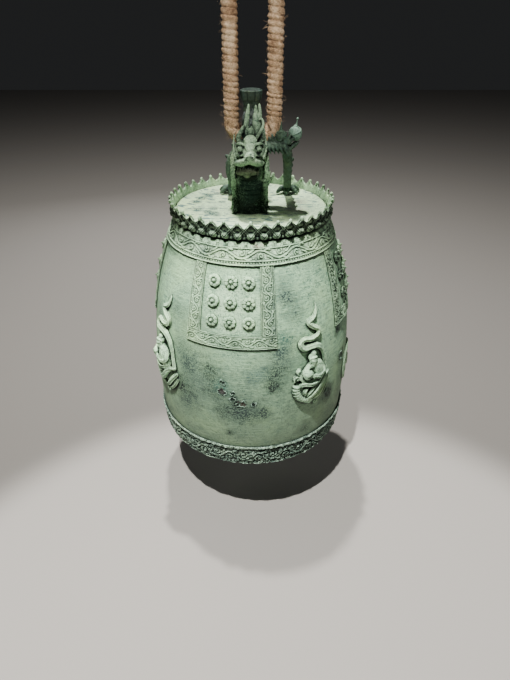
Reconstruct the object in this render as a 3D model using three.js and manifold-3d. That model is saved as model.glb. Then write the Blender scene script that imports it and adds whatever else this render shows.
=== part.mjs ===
// A temple bell of cast bronze, hung by a served rope sling that passes under its dragon loop.
// Units are millimetres, +Z is up and the dragon looks along -Y. Inside this file heights start
// at the mouth of the bell; the finished group is moved so that its origin is the seat of the
// hook, inside the top bight of the sling.
import * as THREE from "three";
import { mergeVertices } from "three/addons/utils/BufferGeometryUtils.js";
import Module from "manifold-3d";

const wasm = await Module();
wasm.setup();

// Bell body
const BODY_HEIGHT = 424;
const BELLY_RADIUS = 180.5;
const BELLY_HEIGHT = 138;
const MOUTH_DRAW_IN = 7; // how far the wall draws in from the belly to the mouth
const SHOULDER_DRAW_IN = 60; // and from the belly to the shoulder
const MOUTH_CURVE = 2;
const SHOULDER_CURVE = 2.35;
const WALL_THICKNESS = 8;
const LIP_THICKNESS = 12;
const LIP_HEIGHT = 60;
const ROUND_STEPS = 48;
const CAST_GAP = 0.6; // between an applied ornament and the wall it sits on
const SEAM_GAP = 0.3; // between two parts that stand on each other
const FINE_STEP = 0.3; // slivers smaller than this are smoothed away where a seam is cut

// Crown
const PLATE_THICKNESS = 9;
const PLATE_EDGE = 2;
const PETAL_COUNT = 42;
const PETAL_TIP = 20;
const PETAL_VALLEY = 9;
const PETAL_FOOT = 10;
const PETAL_FLARE = 7.5;
const PETAL_WALL = 3.5;
const PETAL_BOSS = 4;

// Bands
const UPPER_BAND_DROP = 13; // from the crown plate's face to the band's top edge
const UPPER_BAND_HEIGHT = 32.5;
const LOWER_BAND_LIFT = 2;
const LOWER_BAND_HEIGHT = 44;
const BAND_RELIEF = 2.4;
const BEAD_RELIEF = 4.2;
const BEAD_HEIGHT = 4.5;

// Nipple panels
const PANEL_COUNT = 4;
const FIRST_PANEL_ANGLE = -11.4;
const PANEL_HALF_ANGLE = 25;
const PANEL_STRIP_ANGLE = 8.2;
const PANEL_HEIGHT = 127.5;
const PANEL_STRIP_HEIGHT = 22;
const PANEL_EDGE_ANGLE = 1.3;
const PANEL_EDGE = 3.5;
const PANEL_RELIEF = 2.6;
const PANEL_EDGE_RELIEF = 3.6;
const NIPPLE_ROW_COUNT = 3;
const NIPPLE_ROW_PITCH = 30;
const FIRST_NIPPLE_DROP = 24; // from the band down to the top row's centres
const NIPPLE_COLUMN_ANGLE = 10.1;
const NIPPLE_RADIUS = 10;
const NIPPLE_HEIGHT = 9;
const NIPPLE_SIDES = 8;

// Reliefs below and between the panels
const FIGURE_ANGLE = 46.5; // from the middle of a panel to the middle of the next figure
const FIGURE_HEIGHT = 177; // of its middle, above the mouth
const FIGURE_SCALE = 1;
const STRIKING_SEAT_HEIGHT = 140;
const STRIKING_SEAT_RADIUS = 39;
const STRIKING_SEAT_PETALS = 8;
const STRIKING_SEAT_RELIEF = 4.5;
const RELIEF_ROOT = 6; // how deep inside the wall a relief starts before the wall is cut from it

// Dragon loop and sound pipe
const DRAGON_HEIGHT = 158; // plate to horn tips; every point of the dragon scales with it
const DRAGON_DRAWN_HEIGHT = 156;
const PIPE_RADIUS = 13;
const PIPE_RING_RADIUS = 15.5;
const PIPE_MOUTH_RADIUS = 17;
const PIPE_FOOT_RADIUS = 20;
const PIPE_BORE = 8;
const PIPE_HEIGHT = 170;
const PIPE_SIDES = 14;
const PEARL_RADIUS = 11;

// Rope sling
const ROPE_RADIUS = 12;
const ROPE_HALF_SPREAD = 33;
const ROPE_SIDE = 3; // how far the sling hangs to the side of the dragon's middle
const BIGHT_DEPTH = 27;
const BIGHT_SQUARENESS = 0.8; // 1 is a round bight, less has tighter corners
const SLING_HEIGHT = 228; // from the bight under the neck to the bight over the hook
const SERVING_PITCH = 18;
const SERVING_DEPTH = 0.8;
const ROPE_SIDES = 8;
const ROPE_CLEARANCE = 0.5; // between the rope's bight and the neck that bears on it

const patina = new THREE.MeshStandardMaterial({ color: 0x9fbfa4, roughness: 0.75, metalness: 0.25 });
const darkPatina = new THREE.MeshStandardMaterial({ color: 0x4d6a5a, roughness: 0.7, metalness: 0.35 });
const ropeFibre = new THREE.MeshStandardMaterial({ color: 0xb58f6a, roughness: 0.95, metalness: 0 });

const radians = THREE.MathUtils.degToRad;
const degrees = THREE.MathUtils.radToDeg;
const lerp = THREE.MathUtils.lerp;
const vec = (x, y, z) => new THREE.Vector3(x, y, z);
const bell = new THREE.Group();

function addMesh(name, geometry, material) {
  const mesh = new THREE.Mesh(geometry, material.clone());
  mesh.name = name;
  bell.add(mesh);
}

// Turns an inside-out surface round, so that every closed surface faces outward.
function facingOut(geometry) {
  const index = geometry.index.array;
  const points = geometry.attributes.position;
  const [a, b, c] = [vec(0, 0, 0), vec(0, 0, 0), vec(0, 0, 0)];
  let volume = 0;
  for (let i = 0; i < index.length; i += 3) {
    a.fromBufferAttribute(points, index[i]);
    b.fromBufferAttribute(points, index[i + 1]);
    c.fromBufferAttribute(points, index[i + 2]);
    volume += a.dot(b.cross(c));
  }
  if (volume < 0) {
    for (let i = 0; i < index.length; i += 3) {
      const second = index[i + 1];
      index[i + 1] = index[i + 2];
      index[i + 2] = second;
    }
  }
  geometry.computeVertexNormals();
  return geometry;
}

// A closed surface as a solid that can be added and cut, and back.
function solidOf(geometry) {
  const bare = geometry.index ? geometry.toNonIndexed() : geometry.clone();
  bare.deleteAttribute("normal");
  bare.deleteAttribute("uv");
  const merged = mergeVertices(bare, 1e-4);
  return new wasm.Manifold(
    new wasm.Mesh({
      numProp: 3,
      vertProperties: merged.attributes.position.array,
      triVerts: new Uint32Array(merged.index.array),
    }),
  );
}

// The biggest body that is left after a cut, without slivers.
const mainBody = (solid) =>
  solid.simplify(FINE_STEP).decompose().sort((a, b) => b.volume() - a.volume())[0];

function geometryOf(solid) {
  const mesh = mainBody(solid).getMesh();
  const positions = new Float32Array(mesh.numVert * 3);
  for (let i = 0; i < mesh.numVert; i++) {
    positions.set(mesh.vertProperties.subarray(i * mesh.numProp, i * mesh.numProp + 3), i * 3);
  }
  const geometry = new THREE.BufferGeometry();
  geometry.setAttribute("position", new THREE.BufferAttribute(positions, 3));
  geometry.setIndex(new THREE.BufferAttribute(mesh.triVerts, 1));
  geometry.computeVertexNormals();
  return geometry;
}

const joined = (solids) => solids.reduce((whole, next) => whole.add(next));

// A skin over rings of points, closed round each ring. Its two ends are closed with fans, or,
// when it is endless, the last ring joins the first.
function skin(rings, endless = false) {
  const count = rings[0].length;
  const points = rings.flat();
  const faces = [];
  const last = endless ? rings.length : rings.length - 1;
  for (let i = 0; i < last; i++) {
    const here = i * count;
    const next = ((i + 1) % rings.length) * count;
    for (let j = 0; j < count; j++) {
      const k = (j + 1) % count;
      faces.push(here + j, here + k, next + k, here + j, next + k, next + j);
    }
  }
  if (!endless) {
    const middle = (ring) => ring.reduce((sum, p) => sum.add(p), vec(0, 0, 0)).divideScalar(count);
    const top = (rings.length - 1) * count;
    points.push(middle(rings[0]), middle(rings[rings.length - 1]));
    for (let j = 0; j < count; j++) {
      const k = (j + 1) % count;
      faces.push(points.length - 2, k, j, points.length - 1, top + j, top + k);
    }
  }
  const geometry = new THREE.BufferGeometry().setFromPoints(points);
  geometry.setIndex(faces);
  return facingOut(geometry);
}

// A round limb along a smooth curve through the given points, with a radius for each point.
function limb(points, radii, steps, sides) {
  const curve = new THREE.CatmullRomCurve3(points);
  const frames = curve.computeFrenetFrames(steps, false);
  const rings = [];
  for (let i = 0; i <= steps; i++) {
    const share = i / steps;
    const at = curve.getPoint(share);
    const place = share * (radii.length - 1);
    const low = Math.min(Math.floor(place), radii.length - 2);
    const radius = lerp(radii[low], radii[low + 1], place - low);
    const ring = [];
    for (let j = 0; j < sides; j++) {
      const angle = (2 * Math.PI * j) / sides;
      const spoke = frames.normals[i].clone().multiplyScalar(Math.cos(angle));
      spoke.addScaledVector(frames.binormals[i], Math.sin(angle));
      ring.push(at.clone().addScaledVector(spoke, radius));
    }
    rings.push(ring);
  }
  return solidOf(skin(rings));
}

function ball(centre, rx, ry, rz, wide, high) {
  const geometry = new THREE.SphereGeometry(1, wide, high).rotateX(Math.PI / 2);
  geometry.scale(rx, ry, rz).translate(centre.x, centre.y, centre.z);
  return solidOf(geometry);
}

// A turned solid about +Z from [radius, height] pairs.
function turned(profile, steps = ROUND_STEPS) {
  const points = profile.map(([radius, height]) => new THREE.Vector2(radius, height));
  return facingOut(new THREE.LatheGeometry(points, steps).rotateX(Math.PI / 2));
}

// Outer radius of the wall at a height: it swells from the mouth to the belly, then draws in
// to the shoulder.
function wallRadius(height) {
  if (height < BELLY_HEIGHT) {
    return BELLY_RADIUS - MOUTH_DRAW_IN * (1 - height / BELLY_HEIGHT) ** MOUTH_CURVE;
  }
  const share = (height - BELLY_HEIGHT) / (BODY_HEIGHT - BELLY_HEIGHT);
  return BELLY_RADIUS - SHOULDER_DRAW_IN * share ** SHOULDER_CURVE;
}

function onWall(angle, height, out = 0) {
  const radius = wallRadius(height) + out;
  return vec(radius * Math.sin(radians(angle)), -radius * Math.cos(radians(angle)), height);
}

const WALL_TOP = BODY_HEIGHT - PLATE_THICKNESS - SEAM_GAP;
const OUTSIDE_SHARES = [0, 0.12, 0.25, 0.37, 0.49, 0.61, 0.71, 0.8, 0.88, 0.94, 1];
const INSIDE_SHARES = [1, 0.85, 0.6, 0.33, 0.12, 0];

function bellShell() {
  const lip = LIP_THICKNESS - WALL_THICKNESS;
  const thickness = (z) => WALL_THICKNESS + lip * Math.max(0, 1 - z / LIP_HEIGHT);
  const outside = OUTSIDE_SHARES.map((share) => [wallRadius(share * WALL_TOP), share * WALL_TOP]);
  const inside = INSIDE_SHARES.map((share) => {
    const z = share * WALL_TOP;
    return [wallRadius(z) - thickness(z), z];
  });
  return turned([...outside, ...inside, outside[0]]);
}

// Everything inside the wall's outer face, grown by the casting gap: it is cut from each relief.
function wallCore() {
  const heights = OUTSIDE_SHARES.map((share) => share * WALL_TOP);
  const outside = heights.map((z) => [wallRadius(z) + CAST_GAP, z]);
  const below = -CAST_GAP;
  const above = BODY_HEIGHT;
  return solidOf(
    turned([
      [0, below],
      [outside[0][0], below],
      ...outside,
      [outside[outside.length - 1][0], above],
      [0, above],
    ]),
  );
}

function crownPlate() {
  const low = BODY_HEIGHT - PLATE_THICKNESS;
  const edge = wallRadius(WALL_TOP) - SEAM_GAP;
  return turned([
    [0, low],
    [edge, low],
    [edge, BODY_HEIGHT - PLATE_EDGE],
    [edge - PLATE_EDGE, BODY_HEIGHT],
    [0, BODY_HEIGHT],
  ]);
}

// The crown of standing petals: a flared ring with a zigzag edge and a round boss on each petal.
function petalRim() {
  const foot = wallRadius(WALL_TOP) + CAST_GAP;
  const outer = foot + PETAL_WALL;
  const rings = [];
  for (let i = 0; i < PETAL_COUNT * 2; i++) {
    const angle = radians((180 * i) / PETAL_COUNT);
    const rise = i % 2 ? PETAL_VALLEY : PETAL_TIP;
    const boss = i % 2 ? 0 : PETAL_BOSS;
    const section = [
      [foot, -PETAL_FOOT],
      [outer, -PETAL_FOOT],
      [outer + boss, -PETAL_FOOT / 2],
      [outer + PETAL_FLARE, rise],
      [outer + PETAL_FLARE - PETAL_WALL, rise],
      [foot, 0],
    ];
    rings.push(
      section.map(([radius, height]) =>
        vec(radius * Math.sin(angle), -radius * Math.cos(angle), BODY_HEIGHT + height),
      ),
    );
  }
  return skin(rings, true);
}

// A band round the wall: a low field between two beads.
function band(bottom, height) {
  const top = bottom + height;
  const middle = bottom + height / 2;
  const inner = (z) => [wallRadius(z) + CAST_GAP, z];
  const outer = (z, relief) => [wallRadius(z) + CAST_GAP + relief, z];
  return turned([
    outer(bottom, BAND_RELIEF),
    outer(bottom + BEAD_HEIGHT / 2, BEAD_RELIEF),
    outer(bottom + BEAD_HEIGHT, BAND_RELIEF),
    outer(top - BEAD_HEIGHT, BAND_RELIEF),
    outer(top - BEAD_HEIGHT / 2, BEAD_RELIEF),
    outer(top, BAND_RELIEF),
    inner(top),
    inner(middle),
    inner(bottom),
    outer(bottom, BAND_RELIEF),
  ]);
}

// A relief over those cells of an angle and height grid that wanted() keeps. It starts inside
// the wall, and the wall's core is cut from it.
function wallRelief(angles, heights, wanted, relief, core) {
  const rows = heights.length;
  const column = (angle, i, out) => heights.map((z, j) => onWall(angle, z, out(i, j)));
  const layer = (out) => angles.flatMap((angle, i) => column(angle, i, out));
  const points = [...layer(() => -RELIEF_ROOT), ...layer((i, j) => CAST_GAP + relief(i, j))];
  const lift = angles.length * rows;
  const faces = [];
  const kept = (i, j) => i >= 0 && j >= 0 && i < angles.length - 1 && j < rows - 1 && wanted(i, j);
  const quad = (a, b, c, d) => faces.push(a, b, c, a, c, d);
  for (let i = 0; i < angles.length - 1; i++) {
    for (let j = 0; j < rows - 1; j++) {
      if (!kept(i, j)) continue;
      const [a, b] = [i * rows + j, (i + 1) * rows + j];
      const [c, d] = [b + 1, a + 1];
      quad(a + lift, b + lift, c + lift, d + lift);
      quad(a, d, c, b);
      if (!kept(i, j - 1)) quad(a, b, b + lift, a + lift);
      if (!kept(i + 1, j)) quad(b, c, c + lift, b + lift);
      if (!kept(i, j + 1)) quad(c, d, d + lift, c + lift);
      if (!kept(i - 1, j)) quad(d, a, a + lift, d + lift);
    }
  }
  const corners = new THREE.BufferGeometry().setFromPoints(faces.map((k) => points[k]));
  const surface = facingOut(mergeVertices(corners, 1e-4));
  return geometryOf(solidOf(surface).subtract(core));
}

const UPPER_BAND_BOTTOM = BODY_HEIGHT - UPPER_BAND_DROP - UPPER_BAND_HEIGHT;

// Three strips with raised edges that hang from the upper band and frame the nine nipples.
function panelFrame(centre, core) {
  const outerEdge = PANEL_HALF_ANGLE;
  const innerEdge = PANEL_HALF_ANGLE - PANEL_STRIP_ANGLE;
  const half = [outerEdge, outerEdge - PANEL_EDGE_ANGLE, innerEdge + PANEL_EDGE_ANGLE, innerEdge];
  const middle = innerEdge / 3;
  const offsets = [...half.map((angle) => -angle), -middle, middle, ...half.reverse()];
  const top = UPPER_BAND_BOTTOM - SEAM_GAP;
  const bottom = UPPER_BAND_BOTTOM - PANEL_HEIGHT;
  const stripTop = bottom + PANEL_STRIP_HEIGHT;
  const clear = top - stripTop;
  const heights = [
    bottom,
    bottom + PANEL_EDGE,
    stripTop - PANEL_EDGE,
    stripTop,
    stripTop + clear / 3,
    stripTop + (2 * clear) / 3,
    top,
  ];
  const inSide = (i) => i < 3 || i > 5;
  const inStrip = (j) => j < 3;
  const innerCorner = (i, j) => (j > 2 && (i === 3 || i === 6)) || (j === 3 && i > 2 && i < 7);
  const onEdge = (i, j) => i === 0 || i === 9 || j === 0 || innerCorner(i, j);
  const relief = (i, j) => (onEdge(i, j) ? PANEL_EDGE_RELIEF : PANEL_RELIEF);
  const angles = offsets.map((offset) => centre + offset);
  return wallRelief(angles, heights, (i, j) => inSide(i) || inStrip(j), relief, core);
}

// A nipple is an open lotus with a seed head standing in it.
function nipple(angle, height) {
  const rows = [
    [NIPPLE_RADIUS, 0, 1],
    [NIPPLE_RADIUS * 0.96, NIPPLE_HEIGHT * 0.22, 0.88],
    [NIPPLE_RADIUS * 0.5, NIPPLE_HEIGHT * 0.5, 1],
    [NIPPLE_RADIUS * 0.36, NIPPLE_HEIGHT, 1],
  ];
  const slope = wallRadius(height + 1) - wallRadius(height - 1);
  const out = vec(Math.sin(radians(angle)), -Math.cos(radians(angle)), -slope / 2).normalize();
  const turn = new THREE.Quaternion().setFromUnitVectors(vec(0, 0, 1), out);
  const at = onWall(angle, height).addScaledVector(out, SEAM_GAP);
  const rings = rows.map(([radius, rise, lobe]) => {
    const ring = [];
    for (let i = 0; i < NIPPLE_SIDES; i++) {
      const spoke = (2 * Math.PI * i) / NIPPLE_SIDES;
      const reach = radius * (i % 2 ? lobe : 1);
      const point = vec(reach * Math.cos(spoke), reach * Math.sin(spoke), rise);
      ring.push(point.applyQuaternion(turn).add(at));
    }
    return ring;
  });
  return skin(rings);
}

// A heavenly being seated on a cloud, in an aureole, with a ribbon of cloud curling up above.
// Each point is [across, up, out] from the figure's middle on the wall.
function cloudFigure(centre, core) {
  const at = ([across, up, out]) => {
    const turn = degrees((across * FIGURE_SCALE) / BELLY_RADIUS);
    return onWall(centre + turn, FIGURE_HEIGHT + up * FIGURE_SCALE, out * FIGURE_SCALE);
  };
  const sized = (radii) => radii.map((radius) => radius * FIGURE_SCALE);
  const stroke = (spots, radii, steps, sides) => limb(spots.map(at), sized(radii), steps, sides);
  const lump = (spot, radius) => {
    const size = radius * FIGURE_SCALE;
    return ball(at(spot), size, size, size, 6, 5);
  };
  const rightSweep = [[14, -40, 0], [27, -20, 1], [31, 4, 1], [26, 28, 1], [14, 54, 1], [-4, 63, 2]];
  const curls = [[-18, 61, 2], [-27, 74, 2], [-12, 80, 2], [6, 78, 2], [11, 93, 2], [0, 105, 2]];
  const tip = [[-13, 106, 1], [4, 117, 1], [7, 126, 1], [10, 136, 0]];
  const ribbonRadii = [4, 5, 4.5, 4, 4, 5, 5.5, 5, 5.5, 5.5, 5, 5, 3, 5, 4, 1.5];
  const cloud = [[-35, 6, 0], [-37, -18, 2], [-24, -36, 3], [-4, -41, 2], [18, -26, 2], [26, -2, 1]];
  const aureole = [[-17, 6, 1], [-22, 30, 2], [-9, 52, 2], [6, 38, 2], [8, 14, 2]];
  const parts = [
    stroke([...rightSweep, ...curls, ...tip], ribbonRadii, 23, 4),
    stroke(aureole, [4, 3.6, 3.6, 3.6, 4], 7, 4),
    stroke([[-9, -14, 1], [-7, 8, 4], [-7, 30, 3]], [13, 12, 8], 3, 6), // body
    stroke([[-21, 16, 2], [-16, 2, 6], [-6, 8, 8]], [5, 5, 4], 3, 5), // arms
    stroke([[6, 18, 2], [4, 0, 6], [-6, 8, 8]], [5, 5, 4], 3, 5),
    stroke([[-27, -10, 1], [-9, -17, 5], [12, -10, 1]], [7, 10, 7], 4, 6), // crossed legs
    stroke(cloud, [5, 8, 10, 9, 9, 5], 7, 4),
    lump([-8, 42, 4], 7.5), // head
    lump([-27, -26, 5], 8),
    lump([-10, -32, 5], 8),
    lump([8, -26, 4], 8),
  ];
  return geometryOf(joined(parts).subtract(core));
}

// The lotus disc where the beam strikes the bell.
function strikingSeat(centre, core) {
  const rows = [
    [1, -2 * RELIEF_ROOT, true],
    [1, 0, true],
    [0.94, STRIKING_SEAT_RELIEF / 2, true],
    [0.55, STRIKING_SEAT_RELIEF, true],
    [0.4, STRIKING_SEAT_RELIEF / 2, false],
    [0.34, STRIKING_SEAT_RELIEF, false],
  ];
  const rings = rows.map(([share, out, lobed]) => {
    const ring = [];
    for (let i = 0; i < STRIKING_SEAT_PETALS * 2; i++) {
      const spoke = (Math.PI * i) / STRIKING_SEAT_PETALS;
      const reach = STRIKING_SEAT_RADIUS * share * (lobed && i % 2 ? 0.9 : 1);
      const turn = degrees((reach * Math.cos(spoke)) / BELLY_RADIUS);
      ring.push(onWall(centre + turn, STRIKING_SEAT_HEIGHT + reach * Math.sin(spoke), CAST_GAP + out));
    }
    return ring;
  });
  return geometryOf(solidOf(skin(rings)).subtract(core));
}

// Dragon loop: points are drawn with heights above the crown plate, for a dragon of the drawn
// height. Each piece can also be made a little fatter: the fatter copy is cut from its
// neighbours, so that a fine seam runs between them.
const DRAGON = DRAGON_HEIGHT / DRAGON_DRAWN_HEIGHT;
const plate = (x, y, z) => vec(x * DRAGON, y * DRAGON, BODY_HEIGHT + z * DRAGON);
const bothSides = (build) => [build(-1), build(1)];
const ROPE_SEAT = plate(0, 8, 104); // the middle of the rope under the neck
const PIPE_FOOT = plate(0, 53, 0);
const PEARL_CENTRE = plate(68, -12, 113);

function bone(points, radii, ease, steps, sides) {
  const sized = radii.map((radius) => radius * DRAGON + ease);
  return limb(points, sized, steps, sides);
}

function bulge(centre, rx, ry, rz, ease, wide, high) {
  return ball(centre, rx * DRAGON + ease, ry * DRAGON + ease, rz * DRAGON + ease, wide, high);
}

function abovePlate(solid) {
  const across = 2 * BELLY_RADIUS;
  const slab = new THREE.BoxGeometry(across, across, BODY_HEIGHT);
  slab.translate(0, 0, BODY_HEIGHT / 2 + SEAM_GAP);
  return solid.subtract(solidOf(slab));
}

// The round way that the rope's bight needs under the neck while the bell rocks.
function ropeWay() {
  const length = 4 * ROPE_HALF_SPREAD;
  const radius = ROPE_RADIUS + ROPE_CLEARANCE;
  const way = new THREE.CylinderGeometry(radius, radius, length, 24);
  way.rotateZ(Math.PI / 2).translate(ROPE_SEAT.x, ROPE_SEAT.y, ROPE_SEAT.z);
  return solidOf(way);
}

function horns(ease) {
  const fork = plate(8, -20, 132);
  return [
    bone([plate(-6, -28, 106), plate(-7, -20, 132), plate(-4, -22, 155)], [6, 5, 2], ease, 5, 7),
    bone([plate(6, -28, 106), fork, plate(11, -20, 156)], [6, 5, 2], ease, 5, 7),
    bone([fork.clone(), plate(2, -22, 144), plate(3, -24, 153)], [4, 3.4, 1.8], ease, 4, 6),
  ];
}

function dragonHead(ease = 0) {
  const lip = [plate(-25, -42, 76), plate(-12, -57, 82), plate(12, -57, 82), plate(25, -42, 76)];
  const brow = (s) => [plate(s * 3, -44, 108), plate(s * 13, -42, 112), plate(s * 21, -34, 106)];
  const ear = (s) => [plate(s * 14, -28, 100), plate(s * 24, -26, 112), plate(s * 24, -24, 134)];
  const mane = (s) => [
    plate(s * 17, -24, 100),
    plate(s * 24, -28, 70),
    plate(s * 23, -30, 34),
    plate(s * 22, -32, -4),
  ];
  const parts = [
    bulge(plate(0, -24, 92), 18, 19, 21, ease, 10, 7), // skull
    bone([plate(0, -24, 100), plate(0, -44, 92), plate(0, -56, 86)], [17, 13, 9], ease, 5, 10), // snout
    bone(lip, [6, 7, 7, 6], ease, 6, 7),
    bone([plate(0, -24, 84), plate(0, -25, 46), plate(0, -26, -6)], [16, 16, 18], ease, 5, 10), // chest
    bulge(plate(0, -60, 92), 8, 6, 6, ease, 8, 6), // nose
    ...horns(ease),
    ...bothSides((s) => bulge(plate(s * 12, -43, 101), 6.5, 6.5, 6.5, ease, 8, 6)), // eyes
    ...bothSides((s) => bone(brow(s), [3, 4, 2], ease, 4, 6)),
    ...bothSides((s) => bone(ear(s), [6, 5, 1.5], ease, 5, 6)),
    ...bothSides((s) => bone(mane(s), [5, 5, 6, 7], ease, 5, 6)),
  ];
  return abovePlate(joined(parts).subtract(ropeWay()));
}

function lowerJaw() {
  const lip = [plate(-20, -34, 62), plate(-11, -53, 66), plate(11, -53, 66), plate(20, -34, 62)];
  const parts = [
    bone([plate(0, -34, 60), plate(0, -46, 64), plate(0, -53, 66)], [8, 8, 6], 0, 4, 9),
    bone(lip, [4, 5, 5, 4], 0, 8, 7),
  ];
  return joined(parts).subtract(dragonHead(SEAM_GAP));
}

function dragonNeck(ease = 0) {
  const line = [
    plate(0, -24, 96),
    plate(0, -17, 116),
    plate(0, 8, 130),
    plate(0, 32, 122),
    plate(0, 45, 96),
    plate(0, 47, 60),
    plate(0, 41, 20),
    plate(0, 39, -6),
  ];
  const parts = [bone(line, [13, 14, 14, 14, 14, 13, 13, 14], ease, 17, 10)];
  const curve = new THREE.CatmullRomCurve3(line);
  for (const share of [0.22, 0.31, 0.4]) {
    const foot = curve.getPoint(share);
    const away = foot.clone().sub(ROPE_SEAT).normalize();
    const root = foot.clone().addScaledVector(away, 9 * DRAGON);
    const end = foot.clone().addScaledVector(away, 21 * DRAGON);
    parts.push(bone([root, root.clone().lerp(end, 0.6), end], [5, 3.5, 1], ease, 3, 5));
  }
  return abovePlate(joined(parts).subtract(ropeWay()));
}

// A flared pipe, open at the top, that rises behind the neck.
function soundPipe(ease = 0) {
  const outside = [
    [PIPE_FOOT_RADIUS, 0],
    [PIPE_FOOT_RADIUS, 0.035],
    [PIPE_RADIUS, 0.075],
    [PIPE_RADIUS, 0.31],
    [PIPE_RING_RADIUS, 0.33],
    [PIPE_RADIUS, 0.35],
    [PIPE_RADIUS, 0.6],
    [PIPE_RING_RADIUS, 0.62],
    [PIPE_RADIUS, 0.64],
    [PIPE_RADIUS, 0.88],
    [PIPE_MOUTH_RADIUS, 0.94],
    [PIPE_MOUTH_RADIUS, 1],
  ].map(([radius, share]) => [radius + ease, SEAM_GAP + share * PIPE_HEIGHT]);
  const floor = SEAM_GAP + PIPE_HEIGHT / 10;
  const inside = [
    [PIPE_BORE, SEAM_GAP + PIPE_HEIGHT],
    [PIPE_BORE, floor],
    [0, floor],
  ];
  const pipe = turned([[0, SEAM_GAP], ...outside, ...inside], PIPE_SIDES);
  return solidOf(pipe.translate(PIPE_FOOT.x, PIPE_FOOT.y, PIPE_FOOT.z));
}

// The wish-granting pearl that the raised claw holds, with its flame.
function pearl(ease = 0) {
  const radius = PEARL_RADIUS + ease;
  const above = (rise) => vec(rise / 5, 0, rise).multiplyScalar(DRAGON).add(PEARL_CENTRE);
  const flame = bone([above(0), above(13), above(20)], [6, 4, 1.2], ease, 3, 6);
  return joined([ball(PEARL_CENTRE, radius, radius, radius, 10, 7), flame]);
}

function foot(paw, side) {
  const parts = [bulge(paw, 12, 10, 7, 0, 8, 6)];
  for (const turn of [-35, 0, 35]) {
    const reach = vec(side * Math.cos(radians(turn)), Math.sin(radians(turn)), 0);
    const knuckle = paw.clone().addScaledVector(reach, 9 * DRAGON);
    const claw = paw.clone().addScaledVector(reach, 18 * DRAGON).add(vec(0, 0, -4 * DRAGON));
    parts.push(bone([paw.clone(), knuckle, claw], [4.5, 4, 1.4], 0, 4, 6));
  }
  return parts;
}

function cutFree(parts) {
  const around = [dragonHead, dragonNeck, soundPipe, pearl].map((build) => build(SEAM_GAP));
  return abovePlate(joined(parts).subtract(joined(around)));
}

function rightLeg() {
  const elbow = plate(57, -14, 92);
  const upper = [plate(12, -22, 90), plate(36, -22, 98)];
  const lower = [plate(62, 14, 62), plate(62, 50, 28), plate(62, 66, 7)];
  return cutFree([
    bone([...upper, elbow, ...lower], [6, 8, 8, 6.5, 6, 6], 0, 12, 8),
    bone([elbow.clone(), plate(63, -13, 97), plate(64, -12, 105)], [6, 6, 4], 0, 3, 6), // palm
    bone([plate(40, -24, 100), plate(46, -28, 112), plate(40, -27, 118)], [6, 5, 2.5], 0, 4, 6), // curl
    ...foot(plate(64, 70, 7), 1),
  ]);
}

function leftLeg() {
  const upper = [plate(-6, 40, 84), plate(-27, 38, 72)];
  const lower = [plate(-36, 40, 50), plate(-32, 52, 24), plate(-34, 64, 7)];
  return cutFree([bone([...upper, ...lower], [6, 8, 7, 6, 6], 0, 9, 8), ...foot(plate(-37, 68, 7), -1)]);
}

// The endless rope: down one leg, round under the neck, up the other and over the hook.
// Each rib stands for a turn or two of the twine that it is served with.
function ropeSling() {
  const legBottom = ROPE_SEAT.z + BIGHT_DEPTH;
  const legTop = ROPE_SEAT.z + SLING_HEIGHT - ROPE_HALF_SPREAD;
  const at = (side, z) => vec(ROPE_SIDE + side * ROPE_HALF_SPREAD, ROPE_SEAT.y, z);
  const squared = (share) => Math.sign(share) * Math.abs(share) ** BIGHT_SQUARENESS;
  const bend = (from, depth, level, shape) => {
    const spots = [];
    for (let i = 0; i <= 12; i++) {
      const angle = from + (Math.PI * i) / 12;
      spots.push(at(shape(Math.cos(angle)), level + depth * shape(Math.sin(angle))));
    }
    return new THREE.CatmullRomCurve3(spots);
  };
  const outline = new THREE.CurvePath();
  outline.add(bend(-Math.PI, BIGHT_DEPTH, legBottom, squared));
  outline.add(new THREE.LineCurve3(at(1, legBottom), at(1, legTop)));
  outline.add(bend(0, ROPE_HALF_SPREAD, legTop, (share) => share));
  outline.add(new THREE.LineCurve3(at(-1, legTop), at(-1, legBottom)));
  const rings = [];
  const count = Math.round(outline.getLength() / SERVING_PITCH) * 2;
  for (let i = 0; i < count; i++) {
    const middle = outline.getPointAt(i / count);
    const along = outline.getTangentAt(i / count).normalize();
    const across = vec(0, 1, 0);
    const out = along.clone().cross(across).normalize();
    const radius = ROPE_RADIUS - (i % 2 ? SERVING_DEPTH : 0);
    const ring = [];
    for (let j = 0; j < ROPE_SIDES; j++) {
      const angle = (2 * Math.PI * j) / ROPE_SIDES;
      const spoke = out.clone().multiplyScalar(Math.cos(angle)).addScaledVector(across, Math.sin(angle));
      ring.push(middle.clone().addScaledVector(spoke, radius));
    }
    rings.push(ring);
  }
  return skin(rings, true);
}

// Assembly
const core = wallCore();
addMesh("bell_shell", bellShell(), patina);
addMesh("crown_plate", crownPlate(), patina);
addMesh("petal_rim", petalRim(), patina);
addMesh("upper_band", band(UPPER_BAND_BOTTOM, UPPER_BAND_HEIGHT), patina);
addMesh("lower_band", band(LOWER_BAND_LIFT, LOWER_BAND_HEIGHT), darkPatina);

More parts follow.
